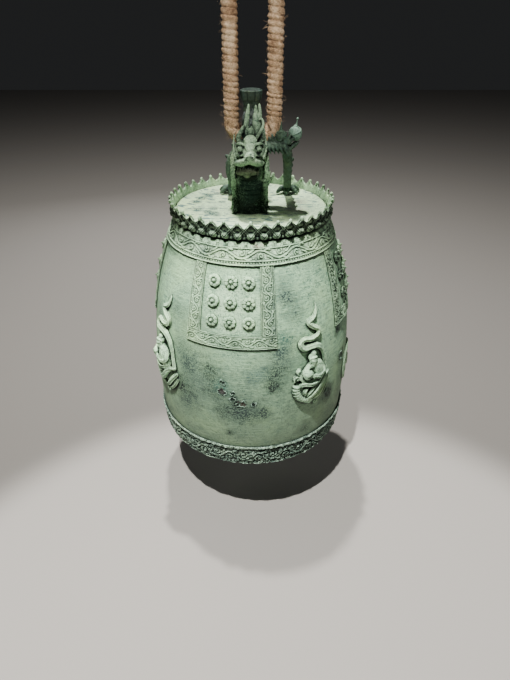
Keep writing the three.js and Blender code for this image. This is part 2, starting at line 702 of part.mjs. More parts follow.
const frontPanel = panelFrame(FIRST_PANEL_ANGLE, core);
const frontFigure = cloudFigure(FIRST_PANEL_ANGLE + FIGURE_ANGLE, core);
const frontSeat = strikingSeat(FIRST_PANEL_ANGLE, core);
["front", "right", "back", "left"].forEach((side, quarter) => {
  const turn = (360 / PANEL_COUNT) * quarter;
  const turnedTo = (geometry) => geometry.clone().rotateZ(radians(turn));
  addMesh("nipple_panel_" + side, turnedTo(frontPanel), patina);
  for (let row = 0; row < NIPPLE_ROW_COUNT; row++) {
    for (const column of [-1, 0, 1]) {
      const angle = FIRST_PANEL_ANGLE + turn + column * NIPPLE_COLUMN_ANGLE;
      const height = UPPER_BAND_BOTTOM - FIRST_NIPPLE_DROP - row * NIPPLE_ROW_PITCH;
      addMesh("nipple_" + side + "_" + (row + 1) + (column + 2), nipple(angle, height), patina);
    }
  }
  addMesh("cloud_figure_" + side, turnedTo(frontFigure), patina);
  if (quarter % 2) addMesh("striking_seat_" + side, turnedTo(frontSeat), patina);
});

const besideNeck = joined([dragonHead(SEAM_GAP), soundPipe(SEAM_GAP)]);
addMesh("dragon_head", geometryOf(dragonHead()), patina);
addMesh("dragon_jaw", geometryOf(lowerJaw()), patina);
addMesh("dragon_neck", geometryOf(dragonNeck().subtract(besideNeck)), patina);
addMesh("dragon_leg_right", geometryOf(rightLeg()), patina);
addMesh("dragon_leg_left", geometryOf(leftLeg()), patina);
addMesh("dragon_pearl", geometryOf(pearl()), patina);
addMesh("sound_pipe", geometryOf(soundPipe()), patina);
addMesh("rope_sling", ropeSling(), ropeFibre);

const HOOK_SEAT = ROPE_SEAT.z + SLING_HEIGHT - ROPE_RADIUS;
bell.children.forEach((mesh) => mesh.geometry.translate(-ROPE_SIDE, -ROPE_SEAT.y, -HOOK_SEAT));

export default bell;
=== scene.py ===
import math

import bmesh
import bpy
import numpy as np
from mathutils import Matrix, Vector, noise


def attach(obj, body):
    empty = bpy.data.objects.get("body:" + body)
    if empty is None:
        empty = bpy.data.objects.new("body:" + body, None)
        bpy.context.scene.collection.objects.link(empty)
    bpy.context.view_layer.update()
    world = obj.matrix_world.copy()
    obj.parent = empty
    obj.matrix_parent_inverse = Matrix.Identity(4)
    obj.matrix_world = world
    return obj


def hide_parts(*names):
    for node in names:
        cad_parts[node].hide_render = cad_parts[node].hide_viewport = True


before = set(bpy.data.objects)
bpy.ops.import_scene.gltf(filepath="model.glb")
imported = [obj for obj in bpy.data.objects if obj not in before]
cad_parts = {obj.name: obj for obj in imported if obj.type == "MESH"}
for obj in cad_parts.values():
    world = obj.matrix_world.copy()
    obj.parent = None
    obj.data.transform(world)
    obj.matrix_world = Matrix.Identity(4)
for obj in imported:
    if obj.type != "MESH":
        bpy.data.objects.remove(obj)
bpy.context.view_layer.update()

# Camera. It stands in front of the bell, about level with the horns of the dragon, and looks down
# on the crown, as in the photograph.
CAMERA_PLACE = (0.003, -0.858, -0.04)
CAMERA_PITCH = 32.85
PHOTO_FOCAL = 520 / 680

camera = bpy.data.objects.new("camera", bpy.data.cameras.new("camera"))
camera.data.sensor_width = 36
camera.data.lens = camera.data.sensor_width * PHOTO_FOCAL
camera.location = CAMERA_PLACE
camera.rotation_euler = (math.radians(90 - CAMERA_PITCH), 0, 0)
bpy.context.scene.collection.objects.link(camera)
bpy.context.scene.camera = camera

# Rope sling. A thick jute rope without ends, closely wound with cord on its two legs and bare where
# it passes under the dragon's neck. Sizes are millimetres from the middle of the bell's mouth.
MM = 0.001
HOOK_SEAT = (3.0, 8.1, 745.33)
ROPE_RADIUS = 12.0
ROPE_SPREAD = 33.0
ROPE_DEPTH = 27.0
LEG_BOTTOM = 556.3
LEG_TOP = 724.3
ROPE_SIDES = 36
WINDING_PITCH = 8.3
STRAND_PITCH = 52.0


class Wire:
    """What comes out of a shader node; sums and products of wires add the nodes for them."""

    def __init__(self, tree, socket=None):
        self.tree = tree
        self.socket = socket

    def node(self, kind, settings=None, out=0, **inputs):
        made = self.tree.nodes.new(kind)
        for name, value in (settings or {}).items():
            if name == "stops":
                ramp = made.color_ramp.elements
                while len(ramp) < len(value):
                    ramp.new(0.5)
                for element, (place, colour) in zip(ramp, value):
                    element.position = place
                    element.color = (*colour, 1)
            else:
                setattr(made, name, value)
        for key, value in inputs.items():
            socket = made.inputs[int(key[1:]) if key[1:].isdigit() else key]
            if isinstance(value, Wire):
                self.tree.links.new(value.socket, socket)
            else:
                socket.default_value = value
        return Wire(self.tree, made.outputs[out])

    def maths(self, operation, first, second=0.0):
        return self.node("ShaderNodeMath", {"operation": operation}, i0=first, i1=second)

    def __add__(self, other):
        return self.maths("ADD", self, other)

    __radd__ = __add__

    def __sub__(self, other):
        return self.maths("SUBTRACT", self, other)

    def __rsub__(self, other):
        return self.maths("SUBTRACT", other, self)

    def __mul__(self, other):
        return self.maths("MULTIPLY", self, other)

    __rmul__ = __mul__

    def held(self, low, high):
        """0 at low, 1 at high, and held there beyond."""
        return self.node("ShaderNodeMapRange", {"clamp": True}, i0=self, i1=low, i2=high, i3=0.0, i4=1.0)

    def speckle(self, scale, detail=4.0, roughness=0.55):
        return self.node("ShaderNodeTexNoise", i0=self, i2=scale, i3=detail, i4=roughness)

    def stretched(self, x, y, z):
        return self.node("ShaderNodeVectorMath", {"operation": "MULTIPLY"}, i0=self, i1=(x, y, z))

    def part(self, axis):
        return self.node("ShaderNodeSeparateXYZ", out="XYZ".index(axis), i0=self)

    def ramped(self, *stops):
        return self.node("ShaderNodeValToRGB", {"stops": stops}, i0=self)

    def tinted(self, share, colour):
        """This colour, with a share of another colour laid over it."""
        over = colour if isinstance(colour, Wire) else (*colour, 1)
        return self.node("ShaderNodeMix", {"data_type": "RGBA"}, 2, i0=share, i6=self, i7=over)

    def hollows(self, reach, lean=0.0):
        """How far each spot lies in a hollow of that many millimetres, from 0 in the open; the finishes darken by it as
        painted shade. With lean, what is above counts for more, so that undersides get more of the painted shade, as
        under a light from above."""
        upward = self.node("ShaderNodeVectorMath", {"operation": "ADD"}, i0=self.node("ShaderNodeNewGeometry", {}, 1), i1=(0, 0, lean))
        upward = upward.node("ShaderNodeVectorMath", {"operation": "NORMALIZE"}, i0=upward)
        return 1.0 - self.node("ShaderNodeAmbientOcclusion", {"samples": 8}, 1, Distance=reach * MM, Normal=upward)

    def edges(self, reach):
        """How near each spot lies to an outward edge of its own piece, within that many millimetres."""
        inside = {"samples": 6, "inside": True, "only_local": True}
        return 1.0 - self.node("ShaderNodeAmbientOcclusion", inside, 1, Distance=reach * MM)

    def feed(self, name):
        """Ends on the named socket of this material's surface shader."""
        self.tree.links.new(self.socket, self.tree.nodes["Principled BSDF"].inputs[name])

    def bump(self, strength, depth):
        """Roughens the surface by this height, a depth of so many millimetres."""
        rough = self.node("ShaderNodeBump", Strength=strength, Distance=depth * MM, Height=self)
        rough.feed("Normal")


def new_finish(name, roughness, metallic=0.0):
    """A finish, and the place on the piece that its patterns start from."""
    finish = bpy.data.materials.new(name)
    finish.use_nodes = True
    surface = finish.node_tree.nodes["Principled BSDF"]
    surface.inputs["Roughness"].default_value = roughness
    surface.inputs["Metallic"].default_value = metallic
    return finish, Wire(finish.node_tree).node("ShaderNodeTexCoord", out=3)


def in_frame(points):
    """Millimetres from the bell's mouth, as metres from the seat of the hook."""
    return ((np.asarray(points, float) - HOOK_SEAT) * MM).tolist()


def mesh_piece(name, points, faces, finish, body, *nodes, sunk=None):
    """A piece from millimetre points. sunk says how deep each point lies in its own relief, and the finish paints shade
    by it; some pieces also set it along a lower edge as a painted shadow line.
    """
    mesh = bpy.data.meshes.new(name)
    mesh.from_pydata(in_frame(points), [], faces)
    outward = bmesh.new()
    outward.from_mesh(mesh)
    bmesh.ops.recalc_face_normals(outward, faces=outward.faces)
    outward.to_mesh(mesh)
    outward.free()
    if sunk is not None:
        mesh.attributes.new("sunk", "FLOAT", "POINT").data.foreach_set("value", np.ravel(sunk))
    mesh.shade_smooth()
    mesh.materials.append(finish)
    piece = bpy.data.objects.new(name, mesh)
    bpy.context.scene.collection.objects.link(piece)
    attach(piece, body)
    "rope" if body == "sling" else "bronze"
    if nodes:
        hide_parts(*nodes)
    return piece


def weave(rows, columns, around=True, over=False):
    """Faces over a grid of points; around joins the columns' ends, and over the rows' ends."""
    faces = []
    for i in range(rows if over else rows - 1):
        here, above = i * columns, (i + 1) % rows * columns
        for j in range(columns if around else columns - 1):
            k = (j + 1) % columns
            faces.append((here + j, here + k, above + k, above + j))
    return faces


def jute_finish():
    finish, place = new_finish("jute", 0.95)
    fibres = place.stretched(1.0, 1.0, 3.0).speckle(330.0, 5.0, 0.8)
    patches = place.speckle(45.0, 3.0)
    straw = (fibres * 0.65 + patches * 0.35).ramped(
        (0.40, (0.25, 0.14, 0.075)), (0.5, (0.70, 0.46, 0.27)), (0.60, (1.0, 0.80, 0.56))
    )
    # Painted shade: the gaps between windings and strands are darkened towards brown-black.
    straw.tinted(place.hollows(6).held(0.12, 0.5) * 0.95, (0.08, 0.035, 0.015)).feed("Base Color")
    fibres.bump(0.9, 1.6)
    return finish


def rope_route(step=1.1):
    """Points down the left leg, round the squarish bight, up the right leg and over the hook."""
    legs = round((LEG_TOP - LEG_BOTTOM) / step)
    heights = np.linspace(LEG_TOP, LEG_BOTTOM, legs, endpoint=False)
    low = np.linspace(math.pi, 2 * math.pi, 92, endpoint=False)
    high = np.linspace(0, math.pi, 95)
    cosine, sine = (np.sign(share) * np.abs(share) ** 0.8 for share in (np.cos(low), np.sin(low)))
    x = [0 * heights - ROPE_SPREAD, ROPE_SPREAD * cosine, 0 * heights + ROPE_SPREAD, ROPE_SPREAD * np.cos(high)]
    z = [heights, LEG_BOTTOM + ROPE_DEPTH * sine, heights[::-1], LEG_TOP + ROPE_SPREAD * np.sin(high)]
    x, z = np.concatenate(x) + HOOK_SEAT[0], np.concatenate(z)
    return np.stack([x, np.full_like(x, HOOK_SEAT[1]), z], 1)


def rope_surface(route):
    """Skin of the rope: round windings on the legs, three twisted strands on the bare bight."""
    ahead = np.gradient(route, axis=0)
    ahead /= np.linalg.norm(ahead, axis=1)[:, None]
    across = np.array((0.0, 1.0, 0.0))
    out = np.cross(ahead, across)
    run = np.concatenate([[0], np.cumsum(np.linalg.norm(np.diff(route, axis=0), axis=1))])[:, None]
    turn = np.linspace(0, 2 * math.pi, ROPE_SIDES, endpoint=False)[None, :]
    bare = np.clip((LEG_BOTTOM + 2 - route[:, 2:]) / 8, 0, 1)
    uneven = np.array([noise.noise(Vector((0.13 * place, 5.1, 0))) for place in np.ravel(run)])[:, None]
    wound = np.abs(np.sin(math.pi * run / WINDING_PITCH - turn / 2 + 0.9 * uneven)) ** 0.55
    yarn = 0.45 * np.sin(turn * 13 + run * 2.6 + 4 * uneven) + 0.8 * uneven
    strand = np.abs(np.sin(1.5 * turn - math.pi * run / STRAND_PITCH * 3)) ** 0.6
    thread = 0.35 * np.sin(turn * 9 + run * 1.1)
    legs = ROPE_RADIUS - 2.5 * (1 - wound) + yarn * wound - 0.3
    bight = ROPE_RADIUS - 2.6 * (1 - strand) + thread * strand - 0.2
    radius = legs * (1 - bare) + bight * bare
    spoke = out[:, None] * np.cos(turn)[..., None] + across * np.sin(turn)[..., None]
    skin = route[:, None] + spoke * radius[..., None]
    return skin.reshape(-1, 3), weave(len(route), ROPE_SIDES)


def loose_fibres(route, count=2200, seed=4):
    """Thin hairs of jute that stand out from the rope, most of them where it is bare."""
    draw = np.random.default_rng(seed)
    points, faces = [], []
    bare = np.flatnonzero(route[:, 2] < LEG_BOTTOM + 4)
    roots = np.concatenate([draw.integers(4, len(route) - 5, count // 2), draw.choice(bare, count // 2)])
    for i in roots:
        ahead = route[i + 1] - route[i - 1]
        ahead /= np.linalg.norm(ahead)
        turn = draw.uniform(0, 2 * math.pi)
        out = np.cross(ahead, (0, 1, 0)) * math.cos(turn) + np.array((0, 1, 0)) * math.sin(turn)
        lean = ahead * draw.uniform(-1, 1) + np.cross(out, ahead) * draw.uniform(-1, 1)
        root = route[i] + out * (ROPE_RADIUS - 1.6)
        reach = draw.uniform(1.5, 4.0) if draw.uniform() < 0.85 else draw.uniform(4.0, 9.0)
        start = len(points)
        for share, thick in ((0, 0.2), (0.55, 0.16), (1, 0.05)):
            spot = root + (out * share + lean * share * share) * reach
            for k in range(3):
                angle = 2 * math.pi * k / 3
                points.append(spot + thick * (ahead * math.cos(angle) + np.cross(out, ahead) * math.sin(angle)))
        faces += [tuple(start + k for k in face) for face in weave(3, 3)]
        faces += [(start + 2, start + 1, start), (start + 6, start + 7, start + 8)]
    return points, faces


jute = jute_finish()
route = rope_route()
rope = mesh_piece("rope_sling_wound", *rope_surface(route), jute, "sling", "rope_sling")
hairs = mesh_piece("rope_hairs", *loose_fibres(route), jute, "sling")

# Wall. The barrel of the bell, cast in bronze and drawn in a little at the mouth and much at the
# shoulder. A pale-green crust covers it, greyer in clouds of fine dark specks, and it turns olive
# towards the mouth. A chain of small brown casting flaws runs across the front.
WALL_HEIGHT = 414.7
BODY_HEIGHT = 424.0
BELLY_RADIUS = 180.5
BELLY_HEIGHT = 138.0


def wall_radius(height):
    height = np.asarray(height, float)
    below = BELLY_RADIUS - 7 * (1 - np.minimum(height, BELLY_HEIGHT) / BELLY_HEIGHT) ** 2
    share = np.maximum(height - BELLY_HEIGHT, 0) / (BODY_HEIGHT - BELLY_HEIGHT)
    return below - 60 * share**2.35


def on_wall(angle, height, out=0.0):
    """Points over the wall, from degrees to the right of the front, heights and reliefs."""
    turn = np.radians(angle)
    reach = wall_radius(height) + out
    return np.stack(np.broadcast_arrays(reach * np.sin(turn), -reach * np.cos(turn), height), -1)


OLIVE = (0.115, 0.135, 0.095)
# Near-black green: soot in the casting flaws, and the painted shade of hollows and undersides.
SOOT_AND_SHADE = (0.012, 0.022, 0.018)


def bronze_finish(name, pale, dark, stains=(), crust=0.5, hollow=1.0, olive=0.0, brushed=0.0, flecks=0.0):
    """Weathered bronze. Each stain is its place, radius, strength and colour; the shares say how
    much there is of crust, of painted shade with some dirt in hollows, of olive low down, of rubbed lines and of
    flecks."""
    finish, place = new_finish(name, 0.62)
    finish.node_tree.nodes["Principled BSDF"].inputs["Specular IOR Level"].default_value = 0.2
    cloud = place.speckle(13.0, 6.0, 0.62)
    blots = place.speckle(46.0, 5.0, 0.7)
    grain = place.speckle(150.0, 5.0, 0.7)
    fine = place.speckle(430.0, 3.0, 0.65)
    streaks = place.stretched(1.0, 1.0, 15.0).speckle(38.0, 4.0, 0.7)
    middle = tuple(0.42 * d + 0.58 * p for d, p in zip(dark, pale))
    mixed = cloud * 0.18 + grain * 0.46 + fine * 0.36 + (streaks - 0.5) * brushed
    tone = mixed.ramped((0.40, dark), (0.465, middle), (0.54, pale))
    tone = tone.tinted(cloud.held(0.50, 0.62) * 0.45, tuple(p * q for p, q in zip(pale, (1.06, 1.0, 0.84))))
    if olive:
        low = (place.part("Z") + (cloud - 0.5) * 0.12 + (streaks - 0.5) * 0.07).held(-0.48, -0.70)
        tone = tone.tinted(low * (streaks * 0.5 + 0.6) * olive, OLIVE)
    dots = fine * 0.6 + grain * 0.4
    tone = tone.tinted(blots.held(0.49, 0.64) * dots.held(0.49, 0.56) * crust, (0.05, 0.11, 0.10))
    tone = tone.tinted(blots.held(0.43, 0.30) * crust * 0.5, (0.17, 0.22, 0.12))
    if flecks:
        lying = place.stretched(1.0, 2.6, 1.0).speckle(62.0, 3.0, 0.5)
        tone = tone.tinted((lying + (cloud - 0.5) * 0.3).held(0.575, 0.62) * flecks, (0.12, 0.22, 0.22))
    # Outward edges are paled: partly rubbed wear, partly a painted highlight.
    worn_and_highlit = place.edges(1.8).held(0.35, 0.75) * grain.held(0.36, 0.5) * 0.6
    tone = tone.tinted(worn_and_highlit, tuple(0.25 + 0.8 * p for p in pale))
    dotted = dots.held(0.45, 0.55) * 1.05 + 0.2
    # Most stains are real patches of the crust; the lists under the dragon's head and on its neck are painted shade.
    for spot, radius, strength, colour in stains:
        gap = place.node("ShaderNodeVectorMath", {"operation": "DISTANCE"}, 1, i0=place, i1=tuple(in_frame(spot)))
        ragged = gap + (grain - 0.5) * (radius * MM * 1.6) + (blots - 0.5) * (radius * MM * 3.0)
        mask = ragged.held(radius * MM * 1.7, radius * MM * 0.2)
        tone = tone.tinted((mask * dotted * strength).held(0.0, 1.0), colour)
    tone = tone.tinted(fine.held(0.42, 0.35) * (blots.held(0.46, 0.58) * 0.65 + 0.15), (0.05, 0.09, 0.09))
    sunk = place.node("ShaderNodeAttribute", {"attribute_name": "sunk"}, 2)
    # Painted shade, with some dirt: hollows, undersides and the sunk share are darkened towards near black.
    shade = place.hollows(8, 1.2).held(0.2, 0.46) * hollow
    tone = tone.tinted(shade.node("ShaderNodeMath", {"operation": "MAXIMUM"}, i0=shade, i1=sunk * hollow), SOOT_AND_SHADE)
    tone.feed("Base Color")
    (grain * 0.35 + 0.5).feed("Roughness")
    (grain * 0.7 + fine * 0.45 + cloud * 0.4 + streaks * brushed).bump(0.9, 2.6)
    return finish


def turned_points(profile, steps):
    """Rings about the bell's axis from pairs of radius and height."""
    turn = np.linspace(0, 2 * math.pi, steps, endpoint=False)
    radius, height = np.asarray(profile, float).T[:, :, None]
    return np.stack(np.broadcast_arrays(radius * np.sin(turn), -radius * np.cos(turn), height), -1)


FLAWS = [(-15.8, 165.5, 7, 2.2), (-15.2, 185.5, 4.2, 1.2), (-9.9, 167, 3.4, 1.6), (-10.1, 153.5, 4.4, 1.6)]
FLAWS += [(-7.4, 143.5, 3.4, 1.4), (-4.4, 146, 5, 1.4), (1.1, 145, 4.4, 1.4), (45.5, 134, 5, 1.4), (61.8, 180, 6, 1.5)]


def wall_points(steps=260):
    """Outside and inside rings, with soft waves from the mould and the pits of the casting flaws."""
    outside = np.linspace(0, WALL_HEIGHT, 130)
    inside = np.linspace(WALL_HEIGHT, 0, 34)
    thick = 8 + 4 * np.clip(1 - inside / 60, 0, 1)
    heights = np.concatenate([outside, inside])
    radii = np.concatenate([wall_radius(outside), wall_radius(inside) - thick])
    points = turned_points(list(zip(radii, heights)), steps)
    for i, row in enumerate(points):
        waves = 0.35 if i < len(outside) else 0.2
        for point in row:
            spot = Vector(point)
            swell = noise.noise(spot * 0.02) * 1.1 + noise.noise(spot * 0.09) * 0.5 - 0.6
            point[:2] *= 1 + waves * swell / math.hypot(point[0], point[1])
    skin = points[: len(outside)]
    for angle, height, radius, depth in FLAWS:
        gap = np.linalg.norm(skin - on_wall(angle, height), axis=2) / radius
        pit = depth * (0.5 * np.exp(-((gap - 1.2) ** 2) * 6) - np.exp(-(gap**2) * 2))
        skin[..., :2] *= (1 + pit / np.hypot(skin[..., 0], skin[..., 1]))[..., None]
    return points


BLUE_GREY = (0.06, 0.092, 0.088)
SLATE = (0.022, 0.033, 0.031)
RUST = (0.075, 0.042, 0.036)
LEAF = (0.07, 0.19, 0.15)
MINT = (0.66, 0.98, 0.62)
ASH = (0.095, 0.14, 0.12)
WALL_STAINS = [
    (on_wall(-11.4, 330), 40, 0.9, MINT),
    (on_wall(-11.4, 300), 34, 0.8, MINT),
    (on_wall(-29, 172), 50, 0.7, ASH),
    (on_wall(-32, 262), 36, 0.45, ASH),
    (on_wall(16, 222), 42, 0.5, ASH),
    (on_wall(-4, 128), 38, 0.55, ASH),
    (on_wall(-64, 250), 26, 0.8, ASH),
    (on_wall(20.5, 331), 13, 1.0, (0.05, 0.075, 0.078)),
    (on_wall(24.5, 303), 14, 0.8, BLUE_GREY),
    (on_wall(18, 347), 14, 0.5, BLUE_GREY),
    (on_wall(17.4, 262), 11, 1.0, LEAF),
    (on_wall(17, 244), 15, 0.9, (0.045, 0.08, 0.08)),
    (on_wall(15, 221), 16, 0.6, BLUE_GREY),
    (on_wall(12.9, 199), 16, 1.2, (0.025, 0.04, 0.042)),
    (on_wall(12.4, 179), 11, 1.3, SLATE),
    (on_wall(2.5, 203), 15, 0.7, (0.10, 0.19, 0.17)),
    (on_wall(-5.6, 125), 20, 1.3, (0.035, 0.054, 0.055)),
    (on_wall(5.1, 124), 15, 1.2, (0.035, 0.054, 0.055)),
    (on_wall(-14, 130), 18, 0.7, SLATE),
    (on_wall(-40.6, 224), 20, 0.8, BLUE_GREY),
    (on_wall(-46.5, 290), 19, 0.8, BLUE_GREY),
    (on_wall(-37, 200), 18, 1.0, BLUE_GREY),
    (on_wall(-22.2, 203), 15, 0.8, SLATE),
    (on_wall(-42.2, 150), 22, 1.2, SLATE),
    (on_wall(-37.5, 117), 20, 0.8, BLUE_GREY),
    (on_wall(-20.2, 165), 18, 0.6, SLATE),
    (on_wall(-15.2, 173), 13, 0.8, LEAF),
    (on_wall(-15.8, 165.5), 6.5, 2.0, (0.025, 0.022, 0.024)),
    (on_wall(-15.8, 165.5), 3.4, 1.2, (0.13, 0.10, 0.11)),
    (on_wall(-15.2, 185.5), 3.4, 1.3, SLATE),
    (on_wall(-9.9, 167), 3, 2.0, SOOT_AND_SHADE),
    (on_wall(-10.1, 153.5), 4.4, 1.9, SOOT_AND_SHADE),
    (on_wall(-7.2, 142), 4.4, 1.9, SOOT_AND_SHADE),
    (on_wall(-4.4, 146), 5, 1.6, RUST),
    (on_wall(1.1, 145), 4.6, 1.4, SLATE),
    (on_wall(-12, 77), 6, 1.0, SLATE),
    (on_wall(61.8, 180), 12, 1.4, SOOT_AND_SHADE),
    (on_wall(48, 122), 16, 1.4, SLATE),
    (on_wall(57, 239), 10, 1.3, SLATE),
    (on_wall(33, 67), 14, 0.7, SLATE),
    (on_wall(-85, 342), 20, 0.8, BLUE_GREY),
    (on_wall(130, 230), 30, 1.1, BLUE_GREY),
    (on_wall(165, 130), 34, 1.1, BLUE_GREY),
    (on_wall(200, 290), 26, 1.0, BLUE_GREY),
    (on_wall(-110, 120), 34, 1.1, BLUE_GREY),
    (on_wall(-150, 210), 18, 1.0, RUST),
    (on_wall(100, 70), 22, 1.0, SLATE),
]
VERDIGRIS = (0.48, 0.79, 0.48)
DULL_GREEN = (0.18, 0.34, 0.24)
wall_bronze = bronze_finish("wall_bronze", VERDIGRIS, DULL_GREEN, WALL_STAINS, 0.5, olive=0.9, brushed=0.4)
wall = wall_points()
mesh_piece(
    "bell_wall",
    wall.reshape(-1, 3),
    weave(len(wall), wall.shape[1], over=True),
    wall_bronze,
    "bell",
    "bell_shell",
)

# Crown plate. The flat top of the bell, cast with the wall and a little sunk towards the dragon. Dust
# and lime have made it the palest part, with long blue flecks and a few brownish grey patches.
def crown_points(steps=220):
    edge = float(wall_radius(WALL_HEIGHT)) - 0.3
    rings = [(edge * share, BODY_HEIGHT) for share in np.linspace(0.015, 1, 70)]
    rings += [(edge, BODY_HEIGHT - 4), (edge, BODY_HEIGHT - 9)]
    rings += [(edge * share, BODY_HEIGHT - 9) for share in (0.8, 0.6, 0.4, 0.2, 0.015)]
    points = turned_points(rings, steps)
    for row in points[:68]:
        for point in row:
            spot = Vector(point)
            point[2] -= 0.5 + 0.5 * noise.noise(spot * 0.03) + 0.35 * noise.noise(spot * 0.11)
            point[2] += 4.5 * max(0, math.hypot(point[0], point[1]) / edge * 8 - 7) ** 2
    return points


def fleck(x, y, radius, strength=1.3, colour=(0.04, 0.10, 0.10)):
    return ((x, y, BODY_HEIGHT), radius, strength, colour)


CHALK = (0.66, 0.90, 0.55)
BROWN_GREY = (0.26, 0.23, 0.20)
PLATE_STAINS = [fleck(-62, -38, 8), fleck(-54, -48, 5), fleck(-70, -30, 6), fleck(-62, -13, 6), fleck(-76, 58, 9)]
PLATE_STAINS += [fleck(-86, 41, 8), fleck(-93, 20, 6), fleck(-60, 66, 6), fleck(-50, 20, 5), fleck(-88, -20, 6)]
PLATE_STAINS += [fleck(94, -3, 7, 0.6), fleck(30, -95, 7, 0.4), fleck(-20, -100, 6, 0.5), fleck(70, 75, 8, 0.5)]
PLATE_STAINS += [fleck(62, -8, 17, 0.7, BROWN_GREY), fleck(78, -24, 13, 0.7, BROWN_GREY)]
PLATE_STAINS += [fleck(80, 18, 12, 0.8, BROWN_GREY), fleck(-60, 85, 18, 0.5, BROWN_GREY)]
plate_bronze = bronze_finish("plate_bronze", CHALK, (0.40, 0.55, 0.40), PLATE_STAINS, 0.6, 0.8, flecks=0.95)
crown = crown_points()
mesh_piece(
    "crown_top",
    crown.reshape(-1, 3),
    weave(len(crown), crown.shape[1], over=True),
    plate_bronze,
    "bell",
    "crown_plate",
)

# Petal rim. A collar of 42 lotus petals that stands round the crown and leans outward. The raised
# edges of neighbouring petals cross, each petal ends in a small ball, and bosses run along the foot.
PETAL_COUNT = 42
PETAL_FOOT = 414.0
PETAL_VALLEY = 433.0
PETAL_TIP = 442.6
PETAL_PITCH = 20.0


def ridge(gap, width):
    """Height of a round ridge, from 1 on its line to 0 at its width."""
    return np.sqrt(np.clip(1 - (gap / width) ** 2, 0, 1))


def highest(*fields):
    best = fields[0]
    for field in fields[1:]:
        best = np.maximum(best, field)
    return best


def ball(centre, rx, ry=None, rz=None, wide=14, high=9):
    rx, ry, rz = rx, ry or rx, rz or rx
    tilt = np.linspace(-math.pi / 2, math.pi / 2, high)[:, None]
    turn = np.linspace(0, 2 * math.pi, wide, endpoint=False)[None, :]
    axes = (rx * np.cos(tilt) * np.cos(turn), ry * np.cos(tilt) * np.sin(turn), rz * np.sin(tilt))
    skin = np.stack(np.broadcast_arrays(*axes), -1)
    skin[0], skin[-1] = skin[0] * (0.02, 0.02, 1), skin[-1] * (0.02, 0.02, 1)
    return skin.reshape(-1, 3) + centre, weave(high, wide) + both_ends(high, wide)


def both_ends(rows, columns):
    return [tuple(range(columns))[::-1], tuple(range((rows - 1) * columns, rows * columns))]


def together(shells):
    points, faces, start = [], [], 0
    for shell_points, shell_faces in shells:
        points.append(shell_points)
        faces += [tuple(start + k for k in face) for face in shell_faces]
        start += len(shell_points)
    return np.vstack(points), faces


def sunken(field, reach, depth):
    """1 where a grid of relief lies a depth or more below its surroundings, 0 where it stands up."""
    blurred = field
    for axis in (0, 1):
        shifted = [np.roll(blurred, step, axis) for step in range(-reach, reach + 1)]
        blurred = sum(shifted) / len(shifted)
    return np.clip((blurred - field) / depth, 0, 1)


def petal_skin(rows=34, per_petal=26):
    """The collar's outer face from foot to edge, then its plain inner face down again."""
    place = np.arange(PETAL_COUNT * per_petal) / per_petal
    within = np.abs((place + 0.5) % 1 - 0.5)
    wobble = np.array([noise.noise(Vector((0.9 * k, 3.7, 0))) for k in range(PETAL_COUNT)])
    own = wobble[((place + 0.5) // 1).astype(int) % PETAL_COUNT]
    edge = PETAL_VALLEY + (PETAL_TIP + 1.6 * own - 0.5 - PETAL_VALLEY) * (1 - 2 * within) ** 1.35
    share = np.linspace(0, 1, rows)[:, None]
    height = PETAL_FOOT + (edge - PETAL_FOOT) * share
    lean = (height - PETAL_FOOT) / (PETAL_TIP - PETAL_FOOT)
    foot = float(wall_radius(WALL_HEIGHT)) + 0.6
    outer = foot + 2.6 + (6.2 + 2.0 * own) * lean**1.25
    down = (PETAL_TIP - height) / (PETAL_TIP - PETAL_FOOT - 5)
    fold = highest(*(ridge(line - down, 0.055) for line in (within - 0.06, within + 0.10, 0.94 - within, 1.1 - within)))
    boss = ridge(np.hypot(within * PETAL_PITCH * 0.85, height - PETAL_FOOT - 5.6), 5.8)
    bead = ridge(np.hypot((within - 0.5) * PETAL_PITCH, height - PETAL_FOOT - 3.0), 2.6)
    relief = 1.9 * fold + (4.6 + 1.5 * own) * boss + 1.8 * bead
    inner = outer - 3.2 + 1.0 * lean + 0.8 * ridge(within, 0.12)
    radius = np.vstack([outer + relief, inner[::-1]])
    height = np.vstack([height, np.maximum(height[::-1], PETAL_FOOT)])
    turn = np.radians(place * 360 / PETAL_COUNT)
    sunk = np.vstack([sunken(relief, 4, 0.55), 0 * inner])
    return np.stack([radius * np.sin(turn), -radius * np.cos(turn), height], -1), sunk


def petal_balls(seed=7):
    draw = np.random.default_rng(seed)
    foot = float(wall_radius(WALL_HEIGHT)) + 0.6
    shells = []
    for i in range(PETAL_COUNT):
        turn = math.radians(i * 360 / PETAL_COUNT)
        size = draw.uniform(2.3, 3.3)
        reach = foot + 8.0
        centre = (reach * math.sin(turn), -reach * math.cos(turn), PETAL_TIP + draw.uniform(-3.0, -1.6))
        shells.append(ball(centre, size, rz=size * 1.25, wide=12, high=8))
    return shells


rim_bronze = bronze_finish("rim_bronze", (0.58, 0.86, 0.54), (0.08, 0.14, 0.09), crust=0.9)
petals, sunk = petal_skin()
collar = (petals.reshape(-1, 3), weave(len(petals), petals.shape[1], over=True))
points, faces = together([collar, *petal_balls()])
sunk = np.concatenate([np.ravel(sunk), np.zeros(len(points) - sunk.size)])
rim = mesh_piece("petal_collar", points, faces, rim_bronze, "bell", "petal_rim", sunk=sunk)
# The inner faces take a paler copy of the rim's bronze: painted light, for faces the lamps reach.
lit_inside_bronze = bronze_finish("lit_inside_bronze", (0.50, 0.74, 0.45), (0.20, 0.33, 0.20), crust=0.7)
rim.data.materials.append(lit_inside_bronze)
for face in rim.data.polygons[petals.shape[0] // 2 * petals.shape[1] : petals.shape[0] * petals.shape[1]]:
    face.material_index = 1

